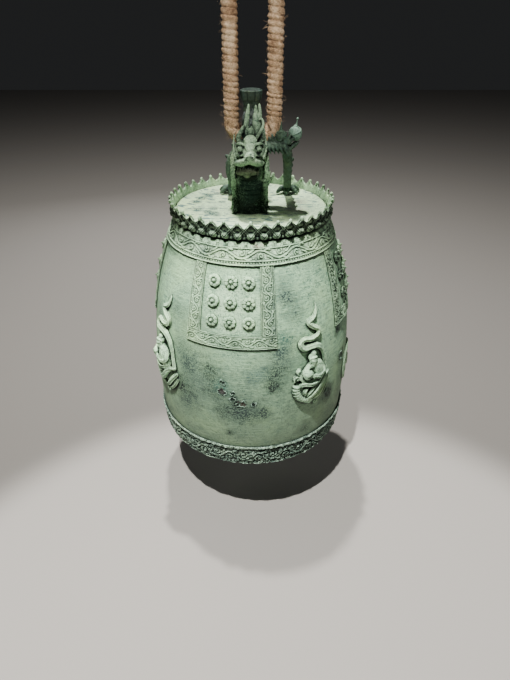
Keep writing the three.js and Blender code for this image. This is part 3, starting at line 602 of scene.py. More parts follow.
# Upper band. A low belt of running vine between a beaded border below and a row of small lobes
# above, cast from a carved mould that was pressed round the shoulder.
def stroke(across, up, line, width):
    """How high a round stroke along a line stands over a field of points, from 0 to 1."""
    best = np.zeros(np.broadcast(across, up).shape)
    for (a0, u0), (a1, u1) in zip(line, line[1:]):
        da, du = a1 - a0, u1 - u0
        share = np.clip(((across - a0) * da + (up - u0) * du) / (da * da + du * du), 0, 1)
        gap = np.hypot(across - a0 - share * da, up - u0 - share * du)
        best = np.maximum(best, ridge(gap, width))
    return best


def spiral(centre, radius, start, turns, steps=26):
    """A curl from its outer end at an angle in turns, into its middle."""
    share = np.linspace(0, 0.93, steps)
    turn = 2 * math.pi * (start + turns * share)
    reach = radius * (1 - share)
    return list(zip(centre[0] + reach * np.cos(turn), centre[1] + reach * np.sin(turn)))


def vine(across, up, period, height):
    """A running vine over a strip: in each period a wave of stem with two scrolled leaves and buds."""
    across = across % period
    wave = np.linspace(0, 1, 25)
    size = height / 16
    stem = list(zip(wave * period, height * (0.5 + 0.33 * np.sin(2 * math.pi * wave))))
    lines = [
        (stem, 1.5 * size),
        (spiral((0.26 * period, 0.36 * height), 0.27 * height, 0.62, -1.25), 1.25 * size),
        (spiral((0.76 * period, 0.64 * height), 0.27 * height, 0.12, -1.25), 1.25 * size),
        ([(0.50 * period, 0.88 * height), (0.43 * period, 0.93 * height), (0.36 * period, 0.86 * height)], 1.6 * size),
        ([(0.00 * period, 0.12 * height), (-0.07 * period, 0.07 * height), (-0.14 * period, 0.14 * height)], 1.6 * size),
        ([(0.56 * period, 0.10 * height), (0.52 * period, 0.24 * height), (0.44 * period, 0.36 * height)], 1.5 * size),
        ([(0.06 * period, 0.90 * height), (0.02 * period, 0.76 * height), (-0.06 * period, 0.64 * height)], 1.5 * size),
    ]
    field = np.zeros(np.broadcast(across, up).shape)
    for line, width in lines:
        for shift in (-period, 0, period):
            field = np.maximum(field, stroke(across - shift, up, line, width))
    return field


def beads(along, up, pitch, middle, radius):
    return ridge(np.hypot((along + pitch / 2) % pitch - pitch / 2, up - middle), radius)


def belt(name, low, high, rows, columns, relief, finish, node, grime=0.0, crusty=0.5):
    """A closed belt round the wall; its relief comes from arc lengths and heights above its foot.
    grime darkens its ground up to the ridge along the top, and crusty roughens it."""
    angle = np.linspace(0, 360, columns, endpoint=False)[None, :]
    height = np.linspace(low, high, rows)[:, None]
    field = relief(np.radians(angle) * float(wall_radius((low + high) / 2)), height - low)
    back = on_wall(angle, np.linspace(high, low, 4)[:, None], 0.3)
    points = np.vstack([on_wall(angle, height, field), back])
    for row, around in np.ndindex(field.shape):
        spot = Vector(points[row, around])
        field[row, around] += crusty * (noise.noise(spot * 0.16) + 0.8 * noise.noise(spot * 0.45))
    points[:rows] = on_wall(angle, height, field)
    ground = grime * np.clip(1.4 - (field - field.min()) / 2, 0, 1) * (height < high - 9)
    # The lowest row is painted dark: a painted shadow line along the belt's lower edge.
    ground[height[:, 0] < low + 0.7] = 1
    sunk = np.vstack([np.maximum(sunken(field, 3, 0.5), ground), np.zeros((4, columns))])
    faces = weave(len(points), columns, over=True)
    mesh_piece(name, points.reshape(-1, 3), faces, finish, "bell", node, sunk=sunk)


UPPER_LOW, UPPER_HIGH = 378.5, 411.0
upper_round = 2 * math.pi * float(wall_radius((UPPER_LOW + UPPER_HIGH) / 2))


def upper_relief(along, up):
    pattern = vine(along, up - 7.5, upper_round / 15, 16.5) * ((up > 7) & (up < 24))
    borders = highest(ridge(up - 1.3, 1.6), ridge(up - 6.9, 0.9), ridge(up - 24.4, 0.9))
    small = beads(along, up, upper_round / 200, 4.2, 1.5)
    lobes = beads(along, up, upper_round / 56, 27.4, 5.6) * 0.75
    lobes = np.maximum(lobes, beads(along + upper_round / 112, up, upper_round / 56, 30.4, 2.4) * 0.6)
    return 1.4 + 1.9 * pattern + 2.0 * highest(borders, small * 0.8, lobes)


BAND_STAINS = [
    (on_wall(4.2, 405), 7, 1.0, (0.42, 0.31, 0.24)),
    (on_wall(3.9, 386), 9, 0.8, BLUE_GREY),
    (on_wall(-30, 393), 13, 0.8, BLUE_GREY),
    (on_wall(-46, 400), 10, 0.7, BLUE_GREY),
    (on_wall(-17, 405), 8, 0.7, LEAF),
    (on_wall(30, 395), 12, 0.5, LEAF),
]
band_bronze = bronze_finish("band_bronze", (0.66, 1.0, 0.62), (0.32, 0.54, 0.34), BAND_STAINS, 0.6, 0.85)
belt("upper_belt", UPPER_LOW, UPPER_HIGH, 60, 1500, upper_relief, band_bronze, "upper_band")

# Lower band. The same kind of belt round the mouth, with a smooth ridge along its top that stays
# pale. Dark green corrosion fills the ground between its flowers.
LOWER_LOW, LOWER_HIGH = 2.0, 46.0
lower_round = 2 * math.pi * float(wall_radius(20))


def lower_relief(along, up):
    pattern = vine(along, up - 7, lower_round / 22, 26)
    flowers = sum(
        beads(along + lower_round / 44 + 3.6 * math.cos(k), up, lower_round / 22, 20 + 3.6 * math.sin(k), 2.4)
        for k in np.linspace(0, 2 * math.pi, 6)[:-1]
    )
    seeds = beads(along, up, lower_round / 170, 4.0, 1.9)
    lines = highest(seeds, ridge(up - 0.9, 1.0), ridge(up - 33.6, 0.9))
    field = np.maximum(pattern, np.minimum(flowers, 1.1)) * ((up > 6) & (up < 33))
    return 1.0 + 2.2 * field + 2.9 * ridge(up - 41.3, 3.4) + 1.6 * lines


mouth_bronze = bronze_finish("mouth_bronze", (0.52, 0.74, 0.56), (0.015, 0.035, 0.03), crust=1.5)
belt("lower_belt", LOWER_LOW, LOWER_HIGH, 80, 1500, lower_relief, mouth_bronze, "lower_band", 0.9, 1.6)

# Nipple panels. Three flat strips of vine that hang from the upper band like a window frame, one
# panel to each quarter of the bell, all pressed from one mould. The field inside is bare wall.
QUARTERS = {"front": 0, "right": 90, "back": 180, "left": 270}
PANEL_ANGLE = -11.4
PANEL_HALF = 25.0
STRIP_ANGLE = 8.2
PANEL_LOW, PANEL_HIGH = 251.0, 378.2
STRIP_HIGH = 22.0


def slab(face, back):
    """A closed slab between two grids of points."""
    rows, columns = face.shape[:2]
    count = rows * columns
    faces = weave(rows, columns, around=False)
    faces += [tuple(count + k for k in face[::-1]) for face in weave(rows, columns, around=False)]
    loop = [j for j in range(columns)] + [i * columns + columns - 1 for i in range(1, rows)]
    loop += [count - 2 - j for j in range(columns - 1)] + [i * columns for i in range(rows - 2, 0, -1)]
    faces += [(b, a, a + count, b + count) for a, b in zip(loop, loop[1:] + loop[:1])]
    return np.vstack([face.reshape(-1, 3), back.reshape(-1, 3)]), faces


def strip(angles, heights, upright):
    """A strip of vine with a raised double edge; its hidden back lies just under the wall's skin."""
    around = float(wall_radius(315)) * np.radians(angles - angles[0])[None, :]
    rise = (heights - heights[0])[:, None]
    along, over = (rise, around) if upright else (around, rise)
    length, width = float(along.max()), float(over.max())
    pattern = vine(along, over - 3.6, length / 4, width - 7.2) * ((over > 3.4) & (over < width - 3.4))
    edges = highest(*(ridge(over - e, 0.8) for e in (0.8, 3.2, width - 3.2, width - 0.8)))
    if not upright:
        edges = np.maximum(edges, ridge(np.minimum(along, length - along) - 0.8, 0.8))
    field = 0.9 + 1.5 * pattern + 1.2 * edges + 0 * (around + rise)
    if not upright:
        field = field + 0.6 * np.clip(1 - rise / 7, 0, 1)
    slab_points, faces = slab(
        on_wall(angles[None, :], heights[:, None], field), on_wall(angles[None, :], heights[:, None], -1.5)
    )
    sunk = sunken(field, 2, 0.4)
    # Its lowest row is painted dark: a painted shadow line along the strip's lower edge.
    sunk[0] = 1
    return slab_points, faces, np.concatenate([np.ravel(sunk), np.ones(field.size)])


PANEL_STAINS = [
    (on_wall(12, 365), 9, 0.6, BLUE_GREY),
    (on_wall(11, 345), 13, 0.4, (0.10, 0.16, 0.16)),
    (on_wall(12.8, 325), 12, 0.7, (0.06, 0.10, 0.11)),
    (on_wall(11.5, 303), 14, 0.5, (0.09, 0.15, 0.16)),
    (on_wall(12.5, 282), 13, 0.6, (0.08, 0.13, 0.14)),
    (on_wall(11.5, 262), 12, 0.7, (0.07, 0.12, 0.12)),
    *((on_wall(57.5, height), 15, 0.9, (0.03, 0.05, 0.045)) for height in (262, 290, 322, 355)),
    *((on_wall(69, height), 15, 1.8, (0.012, 0.02, 0.018)) for height in (294, 324, 354)),
    (on_wall(-30, 290), 8, 0.5, BLUE_GREY),
    (on_wall(-8, 258), 9, 0.5, SLATE),
    (on_wall(-34, 366), 10, 0.5, BLUE_GREY),
]
panel_bronze = bronze_finish("panel_bronze", (0.66, 1.0, 0.62), (0.32, 0.54, 0.34), PANEL_STAINS, 0.6, 0.85)
for side, quarter in QUARTERS.items():
    middle = PANEL_ANGLE + quarter
    strips = [
        strip(
            np.linspace(middle + edge - STRIP_ANGLE / 2, middle + edge + STRIP_ANGLE / 2, 44),
            np.linspace(PANEL_LOW + STRIP_HIGH + 0.1, PANEL_HIGH, 190),
            True,
        )
        for edge in (-PANEL_HALF + STRIP_ANGLE / 2, PANEL_HALF - STRIP_ANGLE / 2)
    ]
    foot_angles = np.linspace(middle - PANEL_HALF, middle + PANEL_HALF, 260)
    strips.append(strip(foot_angles, np.linspace(PANEL_LOW, PANEL_LOW + STRIP_HIGH, 40), False))
    points, faces = together([part[:2] for part in strips])
    sunk = np.concatenate([part[2] for part in strips])
    mesh_piece("panel_frame_" + side, points, faces, panel_bronze, "bell", "nipple_panel_" + side, sunk=sunk)

# Nipples. Nine open lotus flowers in each panel, cast separately in wax and set on the field: a
# wreath of folded petals round a pointed seed head that stands up in the middle.
def nipple_skin(angle, height, seed):
    draw = np.random.default_rng(seed)
    share = np.linspace(0, 1, 30)[:, None]
    turn = np.linspace(0, 2 * math.pi, 72, endpoint=False)[None, :]
    spin, bloom = draw.uniform(0, 0.8), draw.uniform(0.35, 1.0)
    outer = np.abs(np.cos(4 * (turn + spin))) ** 0.6
    reach = 10.4 * (1 - share) + 0.05
    edge = 1 - 0.13 * bloom * (1 - outer)
    rise = 5.0 * ridge(reach - 7.0, 3.5) * (1 - 0.55 * bloom * (1 - outer))
    rise = rise - 1.3 * bloom * ridge(reach - 7.6, 2.0) * outer**4
    bud = 9.2 * draw.uniform(0.85, 1.0)
    rise = np.maximum(rise, bud * np.clip(1 - reach / 5.0, 0, 1) ** 0.75)
    rise = rise + 1.2 * (share > 0)
    # The seed head is darkened all over through the same share, although it stands up.
    sunk = np.maximum(np.clip(sunken(rise, 2, 1.4) * (reach < 9.5), 0, 0.8), 0.45 * (reach < 4.2))
    flat = np.stack(np.broadcast_arrays(reach * edge * np.cos(turn), reach * edge * np.sin(turn), rise), -1)
    slope = float(wall_radius(height + 1) - wall_radius(height - 1)) / 2
    out = Vector((math.sin(math.radians(angle)), -math.cos(math.radians(angle)), -slope)).normalized()
    side = Vector((math.cos(math.radians(angle)), math.sin(math.radians(angle)), 0))
    axes = np.array((side, side.cross(out) * -1, out))
    points = flat @ axes + np.array(on_wall(angle, height)) - 0.8 * np.array(out)
    return points.reshape(-1, 3), weave(30, 72) + both_ends(30, 72), np.ravel(sunk)


for side, quarter in QUARTERS.items():
    flowers = []
    for row, height in enumerate((354.5, 324.5, 294.5)):
        for column in (-1, 0, 1):
            seed = quarter + 10 * row + column + 1
            flowers.append(nipple_skin(PANEL_ANGLE + quarter + 10.1 * column, height, seed))
    nodes = [f"nipple_{side}_{row}{column}" for row in (1, 2, 3) for column in (1, 2, 3)]
    points, faces = together([flower[:2] for flower in flowers])
    sunk = np.concatenate([flower[2] for flower in flowers])
    mesh_piece("lotus_nipples_" + side, points, faces, panel_bronze, "bell", *nodes, sunk=sunk)

# Striking seats. Two lotus discs on opposite sides, where the hanging beam strikes the bell: eight
# broad petals round a raised seed head, in a thin ring.
SEAT_HEIGHT, SEAT_RADIUS = 140.0, 39.0


def seat_points(angle, rows=60, columns=160):
    share = np.linspace(0, 1, rows)[:, None]
    turn = np.linspace(0, 2 * math.pi, columns, endpoint=False)[None, :]
    reach = SEAT_RADIUS * (1 - share) + 0.05
    petal = np.abs(np.cos(4 * turn))
    rise = 1.0 + 2.8 * ridge(reach - 24.5, 11.5) * petal**0.6
    rise = rise - 1.2 * ridge(np.abs(np.sin(4 * turn)) * reach / 4, 1.0) * (reach > 14) * (reach < 34)
    rise = np.maximum(rise, 1.0 + 2.4 * ridge(reach - SEAT_RADIUS + 1.8, 1.7))
    seeds = np.zeros(rise.shape)
    across, up = reach * np.cos(turn), reach * np.sin(turn)
    for ring, count in ((0.0, 1), (4.6, 6), (9.4, 12)):
        for spoke in np.arange(count) * 2 * math.pi / count:
            gap = np.hypot(across - ring * math.cos(spoke), up - ring * math.sin(spoke))
            seeds = np.maximum(seeds, ridge(gap, 1.7))
    head = 1.2 + 2.8 * np.clip(1 - (reach / 13.5) ** 6, 0, 1) + 1.2 * seeds
    rise = np.maximum(rise, head * (reach < 14))
    where = angle + np.degrees(across / BELLY_RADIUS), SEAT_HEIGHT + up
    return np.vstack([on_wall(*where, -1.5)[:0:-1], on_wall(*where, -1.5)[:1], on_wall(*where, rise)]), rise


for side in ("right", "left"):
    lotus, rise = seat_points(PANEL_ANGLE + QUARTERS[side])
    rows, columns = lotus.shape[:2]
    sunk = np.vstack([0 * rise, sunken(rise, 2, 0.6)])
    faces = weave(rows, columns) + both_ends(rows, columns)
    name = "lotus_seat_" + side
    mesh_piece(name, lotus.reshape(-1, 3), faces, panel_bronze, "bell", "striking_seat_" + side, sunk=sunk)

# Cloud figures. A heavenly maiden kneels on a cloud between each two panels, her head bent over a
# bowl, and the cloud's tail waves high above her. Modelled in wax once and laid on the wall four times.
FIGURE_ANGLE = 35.1
FIGURE_MIDDLE = 177.0


def limb(spots, steps=24, sides=14, flat=1.0, up=(0.2, 0.5, 0.84), relief=None):
    """A round limb through spots (place and radius), pressed flat along the direction up."""
    spots = np.asarray(spots, float)
    padded = np.vstack([2 * spots[0] - spots[1], spots, 2 * spots[-1] - spots[-2]])
    place = np.linspace(0, len(spots) - 1, steps)
    start = np.minimum(place.astype(int), len(spots) - 2)
    part = (place - start)[:, None]
    a, b, c, d = (padded[start + k] for k in range(4))
    bend = (2 * a - 5 * b + 4 * c - d) * part**2 + (3 * b - a - 3 * c + d) * part**3
    line = 0.5 * (2 * b + (c - a) * part + bend)
    ahead = np.gradient(line[:, :3], axis=0)
    ahead /= np.linalg.norm(ahead, axis=1)[:, None]
    tops, top = [], np.asarray(up, float)
    for way in ahead:
        top = top - way * top.dot(way)
        top = top / np.linalg.norm(top)
        tops.append(top)
    across = np.cross(ahead, tops)
    turn = np.linspace(0, 2 * math.pi, sides, endpoint=False)[None, :]
    reach = np.maximum(line[:, 3:], 0.1) * np.ones(sides)
    if relief:
        reach = reach + relief(np.linspace(0, 1, steps)[:, None], turn)
    rings = across[:, None] * (np.cos(turn) * reach)[..., None]
    rings += np.array(tops)[:, None] * (flat * np.sin(turn) * reach)[..., None]
    skin = list(line[:, None, :3] + rings)
    for tilt in (0.6, 1.15, 1.5):
        shrink, push = math.cos(tilt), math.sin(tilt) * flat
        skin.insert(0, line[0, :3] - ahead[0] * push * line[0, 3] + rings[0] * shrink)
        skin.append(line[-1, :3] + ahead[-1] * push * line[-1, 3] + rings[-1] * shrink)
    return np.vstack(skin), weave(len(skin), sides) + both_ends(len(skin), sides)


def cast(shells, grain, rounds=2):
    """Melts shells that run into one another to one closed skin, and softens it."""
    points, faces = together(shells)
    mesh = bpy.data.meshes.new("wax")
    mesh.from_pydata(points.tolist(), [], faces)
    wax = bpy.data.objects.new("wax", mesh)
    bpy.context.scene.collection.objects.link(wax)
    melt = wax.modifiers.new("melt", "REMESH")
    melt.mode = "VOXEL"
    melt.voxel_size = grain
    soften = wax.modifiers.new("soften", "SMOOTH")
    soften.iterations = rounds
    melted = wax.evaluated_get(bpy.context.evaluated_depsgraph_get()).to_mesh()
    places = np.empty(3 * len(melted.vertices))
    melted.vertices.foreach_get("co", places)
    faces = [tuple(face.vertices) for face in melted.polygons]
    bpy.data.objects.remove(wax)
    bpy.data.meshes.remove(mesh)
    return places.reshape(-1, 3), faces


def curl(centre, radius, start, turns, thick, steps=14):
    """A rolled-up curl of cloud, lying on the wall."""
    return [(x, y, centre[2], thick) for x, y in spiral(centre, radius, start, turns, steps)]


def grooves(count, depth, twist=0.0):
    """Folds that run along a limb."""
    return lambda share, turn: -depth * np.abs(np.cos(turn * count / 2 + share * twist)) ** 3


TAIL = [(8, 134, 0, 0.8), (8, 124, 1, 2.6), (2.5, 112.5, 1.5, 4), (-9, 106, 1, 4.6), (-1, 97.5, 1.5, 5)]
TAIL += [(9.5, 90, 2, 4.8), (7, 81, 2, 5), (-6, 77.5, 2, 5), (-19, 79.5, 1.5, 4.6), (-26, 73.5, 1.5, 5.2)]
TAIL += [(-20, 64.5, 2.5, 5.8), (-7, 64.5, 3, 5.6), (6, 62, 3, 5.5), (16, 52, 2.5, 4.6), (21.5, 36, 2, 3.8)]
TAIL += [(24, 20, 2, 3.6), (28, 4, 3, 4.0)]
FOLDS = [
    [(28.5, 4, 4, 4), (18, -1, 6, 4.6), (10.5, -7, 7.5, 5.4), (4, -17, 8, 5.6), (-6, -28, 7, 5.8), (-11, -34, 5, 5)],
    [(31, -8, 2, 4), (21, -21, 4, 4.8), (11, -35, 4, 5), (2.5, -42, 2, 4.4)],
    [(32, -18, 0, 3.4), (27, -29, 2, 4), (17, -41, 2, 4.4), (6, -49, 0, 3.6)],
    [(13, 5, 5, 5), (2, -1, 8.5, 6), (-9, -3, 9, 6), (-20, -1, 7, 5.4), (-27, -4, 4, 4)],
    [(-14, -8, 6, 4), (-20, -17, 6, 4.4), (-18, -26, 4, 4)],
    [(-4, -12, 8, 4.4), (-9, -19, 8, 4), (-14, -29, 5, 3.6)],
    [(-17, -40, 0, 6), (-10, -43, 1.5, 6), (-1, -44, 0, 5)],
]
CURLS = [(-29, 22, 2, 5.4, 0.9), (-33.5, 10, 2.5, 6.2, 0.6), (4, -50, 1.5, 5.4, 0.1)]
shells = [limb(TAIL, 180, 24, relief=grooves(6, 1.5, 2.0))]
shells += [limb(fold, 60, 24, relief=grooves(5, 1.7, 1.5)) for fold in FOLDS]
shells += [limb(curl((a, u, o + 1.5), r, s, -1.2, 1.6), 40, 10) for a, u, o, r, s in CURLS]
shells += [ball((a, u, -0.5), r + 1.2, r + 1.2, 3.4) for a, u, o, r, s in CURLS]
for turn in np.linspace(0.93 * math.pi, 1.52 * math.pi, 10):
    out = np.array((29.5 * math.cos(turn), 31.5 * math.sin(turn)))
    rise = [(-9.5, -11.5, 1.5), (-9.5, -11.5, 4.4), (-9.5, -11.5, 3.4), (-9.5, -11.5, 0.2)]
    line = [(x + share * out[0], y + share * out[1], o) for (x, y, o), share in zip(rise, (0.62, 0.78, 0.93, 1.04))]
    shells.append(limb([(*place, thick) for place, thick in zip(line, (2.2, 3.3, 3.6, 2.4))], 18, 14))
shells += [
    ball((-9, -13, 0), 27, 28, 4.2, 32, 12),
    limb([(-3, 36, 6, 7), (2, 26, 7, 10), (6, 12, 5, 11.5), (6, 4, 4, 11)], 48, 34, 0.8, (0, 0, 1), grooves(12, 1.7, 0.8)),
    limb([(-14, 30, 6, 4.6), (-5, 35, 7.5, 6), (6, 32, 6.5, 5.6), (11, 26, 5, 5)], 24),
    limb([(10, 28, 7, 5), (13, 18, 9.5, 5), (3, 12, 13, 4.4), (-8, 15, 14, 3.2)], 40, 22, relief=grooves(5, 1.3, 2.5)),
    limb([(-14, 30, 6, 4.6), (-23, 23, 8.5, 4.4), (-20, 13.5, 12, 3.8), (-13, 15, 13.5, 3)], 40, 22, relief=grooves(5, 1.2, 2.5)),
    limb([(12, 17, 6, 3.6), (12, 6, 6, 4.6), (6, -3, 8, 3.4), (9, -12, 7, 1.6)], 30, 14, relief=grooves(6, 0.8)),
    limb([(-23, 22, 5, 3.4), (-27, 12, 5, 4), (-24, 3, 6, 3), (-29, -5, 4, 1.4)], 30, 14, relief=grooves(6, 0.8)),
    ball((-10.5, 15.5, 13.5), 3.2, 3.4, 2.6),
    limb([(-15.5, 16, 12, 5), (-16.5, 19, 12, 7.2), (-17, 20.2, 12, 7.6)], 10, 22, 0.8, (0, 0, 1)),
    ball((-18, 23.5, 12), 4.4, 3.6, 3.6),
]
# Her head: a smooth oval face of its own kind with closed eyes, long ears, and hair combed up to a
# knot under a low crown.
HEAD = np.array((-7.0, 43.0, 8.5))
FACE = [([(-4.6, 1.4), (-3.0, 2.2), (-1.0, 1.5)], 0.55), ([(4.6, 1.4), (3.0, 2.2), (1.0, 1.5)], 0.55)]
FACE += [([(-4.3, 0.1), (-2.8, -0.6), (-1.3, 0.0)], 0.75), ([(4.3, 0.1), (2.8, -0.6), (1.3, 0.0)], 0.75)]
FACE += [([(0, 1.6), (0, -0.6), (0, -2.3)], 0.95), ([(-1.6, -4.1), (0, -4.5), (1.6, -4.1)], 0.7)]


def on_face(across, up):
    return HEAD + (across, up, 6.4 * math.sqrt(1 - (across / 6.4) ** 2 - (up / 7.8) ** 2))


shells += [
    ball(HEAD, 6.4, 7.8, 6.6, 28, 20),
    ball(HEAD + (0, -5.2, 2.4), 3.6, 3.0, 3.6, 18, 12),
    ball(HEAD + (0, 2.8, -1.4), 7.2, 7.0, 6.6, 24, 16),
    ball(HEAD + (1.5, 10.4, -1.0), 4.6, 4.4, 4.2, 20, 12),
    limb([(-5, 33, 7, 4.4), (-6, 38, 7.6, 4)], 6),
    limb([(*(HEAD + (-6.6, 3.4, 1.5)), 1.3), (*(HEAD + (0, 6.6, 5.2)), 1.9), (*(HEAD + (6.6, 3.4, 1.5)), 1.3)], 14, 10),
    *(limb([(*(HEAD + (s * 6.5, 1, 1)), 1.4), (*(HEAD + (s * 6.6, -4, 1.5)), 1.1)], 6, 8) for s in (-1, 1)),
    *(limb([(*on_face(*spot), thick) for spot in line], 10, 8) for line, thick in FACE),
]


def laid_on_wall(relief, angle):
    across, up, out = relief.T
    height = FIGURE_MIDDLE + up
    return on_wall(angle + np.degrees(across / wall_radius(height)), height, np.maximum(out, -1.2))


relief, faces = cast(shells, 0.62, 1)
figure_bronze = bronze_finish("figure_bronze", (0.64, 0.98, 0.62), (0.18, 0.33, 0.22), crust=0.8)
for side, quarter in QUARTERS.items():
    points = laid_on_wall(relief, FIGURE_ANGLE + quarter)
    mesh_piece("cloud_maiden_" + side, points, faces, figure_bronze, "bell", "cloud_figure_" + side)


# Casting flaws. Where gas stood in the mould, the front has a crooked chain of thin raised rims with
# a pit inside each, and two more lie beside the maiden.
def flaw_rim(angle, height, radius, seed):
    spots = []
    for turn in np.linspace(0, 2 * math.pi, 19):
        ragged = 1.1 + 0.9 * noise.noise(Vector((2.2 * math.cos(turn), 2.2 * math.sin(turn), 7.7 * seed)))
        across, up = radius * ragged * math.cos(turn), radius * ragged * math.sin(turn)
        place = on_wall(angle + math.degrees(across / BELLY_RADIUS), height + up, 0.3)
        spots.append((*place, 0.62 + 0.5 * math.cos(2 * turn + 2 * seed)))
    return limb(spots, 60, 8, up=(0.1, -0.99, 0.05))


points, faces = together([flaw_rim(*flaw[:3], seed) for seed, flaw in enumerate(FLAWS)])
flaw_bronze = bronze_finish("flaw_bronze", (0.34, 0.56, 0.40), (0.10, 0.20, 0.15), crust=0.6)
mesh_piece("casting_flaws", points, faces, flaw_bronze, "bell")
# Dragon's head. It looks out over the front of the crown from the end of the arched neck, with bulging
# eyes, pleated lips, branching horns and a mane in two pale strips beside its scaly chest. One
# hollow wax model; its bronze is painted nearly black as shade under the head, and is pale elsewhere.
DRAGON_SCALE = 158 / 156
NECK_ROPE = (8.1, 529.3)


def spots(*places):
    """Places over the crown plate (x, y, height, radius) of a limb of the dragon."""
    return [(x * DRAGON_SCALE, y * DRAGON_SCALE, BODY_HEIGHT + h * DRAGON_SCALE, r * DRAGON_SCALE) for x, y, h, r in places]


def spot(x, y, height):
    return np.array(spots((x, y, height, 1))[0][:3])


def knob(x, y, height, *sizes, **more):
    return ball(spot(x, y, height), *(size * DRAGON_SCALE for size in sizes), **more)


def both(x, y, height, *rest):
    """The same spot on either side of the head's middle."""
    return [(-2 + side * x, y, height, *rest) for side in (-1, 1)]


def paired(*places):
    return [spots(*half) for half in zip(*(both(*place) for place in places))]


def pressed(points, *marks):
    """Dents from a modelling tool: each has its place, radius and how far it pushes."""
    points = points.copy()
    for place, radius, push in marks:
        near = np.linalg.norm(points - place, axis=1) / radius
        points += np.exp(-(near**2) * 1.6)[:, None] * np.asarray(push, float)
    return points


def seated(points):
    """Clear of the rope under the neck, and with its feet just in the crown plate."""
    gap = points[:, 1:] - NECK_ROPE
    reach = np.linalg.norm(gap, axis=1)
    near = (reach < 12.9) & (reach > 0)
    points[near, 1:] = NECK_ROPE + gap[near] * (12.9 / reach[near])[:, None]
    points[:, 2] = np.maximum(points[:, 2], BODY_HEIGHT - 1.6)
    return points


def scales(rows, columns, height):
    """Overlapping round scales that lie towards the end of a limb."""

    def relief(share, turn):
        row = share * rows
        best = 0 * (share + turn)
        for first in (np.floor(row), np.floor(row) - 1):
            within = np.abs((turn / (2 * math.pi) * columns + 0.5 * (first % 2)) % 1 - 0.5) * 2
            end = 1.4 - 0.6 * within**2
            local = (row - first) / end
            best = np.maximum(best, height * (0.25 + 0.75 * local) * (local < 1))
        return best

    return relief


def scutes(share, turn):
    """Broad plates across the front of the chest, and scales round its sides."""
    front = np.clip(np.sin(-turn) * 3 - 0.9, 0, 1)
    plates = 1.5 * (1 - (share * 15 % 1)) ** 0.7 * np.clip(1.3 - np.abs(np.cos(turn)) * 0.9, 0, 1)
    return front * plates + (1 - front) * scales(16, 14, 0.9)(share, turn)


def pleats(share, turn):
    return 1.1 * (np.abs(np.sin(share * 50)) - 0.5) * np.clip(np.sin(turn) + 0.8, 0, 1)


def tangled(share, turn):
    """Lumpy locks of hair, twisted along a strip of mane."""
    return 1.3 * np.abs(np.sin(1.5 * turn + share * 17)) + 0.9 * np.sin(share * 71 + turn) ** 2 - 0.8


def bumpy(share, turn):
    return 0.9 * np.sin(share * 26 + 1.5 * np.sin(3 * turn)) * np.sin(5 * turn + share * 9)


FORWARD = (0, -1, 0.1)
head = [
    knob(-2, -24, 92, 17, 18, 19, wide=36, high=24),
    limb(spots((-2, -24, 100, 15), (-2, -42, 95, 12.5), (-2, -55, 89, 9.5)), 24, 30),
    limb(
        spots(
            (-21.5, -38, 77, 4.2), (-20, -46, 78.5, 5.2), (-15.5, -54, 81, 6), (-9, -58, 83.5, 6), (-2.5, -58, 85, 5.4),
            (4, -58, 83.5, 6), (10, -54, 81, 6), (14.5, -46, 78.5, 5.2), (15.5, -38, 77, 4.2)
        ),
        150, 22, 0.82, relief=pleats,
    ),
    knob(-2, -59, 92.5, 6.6, 5.4, 5, wide=24, high=16),
    *(knob(x, -62.5, 90.5, 3.3, 3.2, 2.8) for x in (-6, 2)),
    *(knob(*place, 5.4, 5.2, 5.4, wide=24, high=16) for place in both(12.7, -46, 99.5)),
    *(limb(line, 26, 12, 0.7, FORWARD) for line in paired((7, -50, 104.5, 1.4), (11, -49, 107, 2), (16, -46, 107, 2), (19.5, -38, 104, 1.6))),
    limb(spots((-2, -58, 94, 4), (-2, -55, 99, 5.6), (-1.5, -50, 105, 8), (-1, -45, 111, 9.6), (-1, -41, 114, 8)), 60, 40, 0.5, FORWARD, bumpy),
    *(limb(line, 20, 10) for line in paired((1, -52, 99, 2.2), (6, -55, 95, 1.9), (12, -54, 91.5, 1.6), (17, -48, 90, 1.2))),
    *(limb(line, 24, 12, relief=grooves(5, 0.5)) for line in paired((12.5, -50, 90, 3.2), (17.5, -42, 91, 3.8), (19, -34, 96, 4), (18, -28, 104, 2.8))),
]
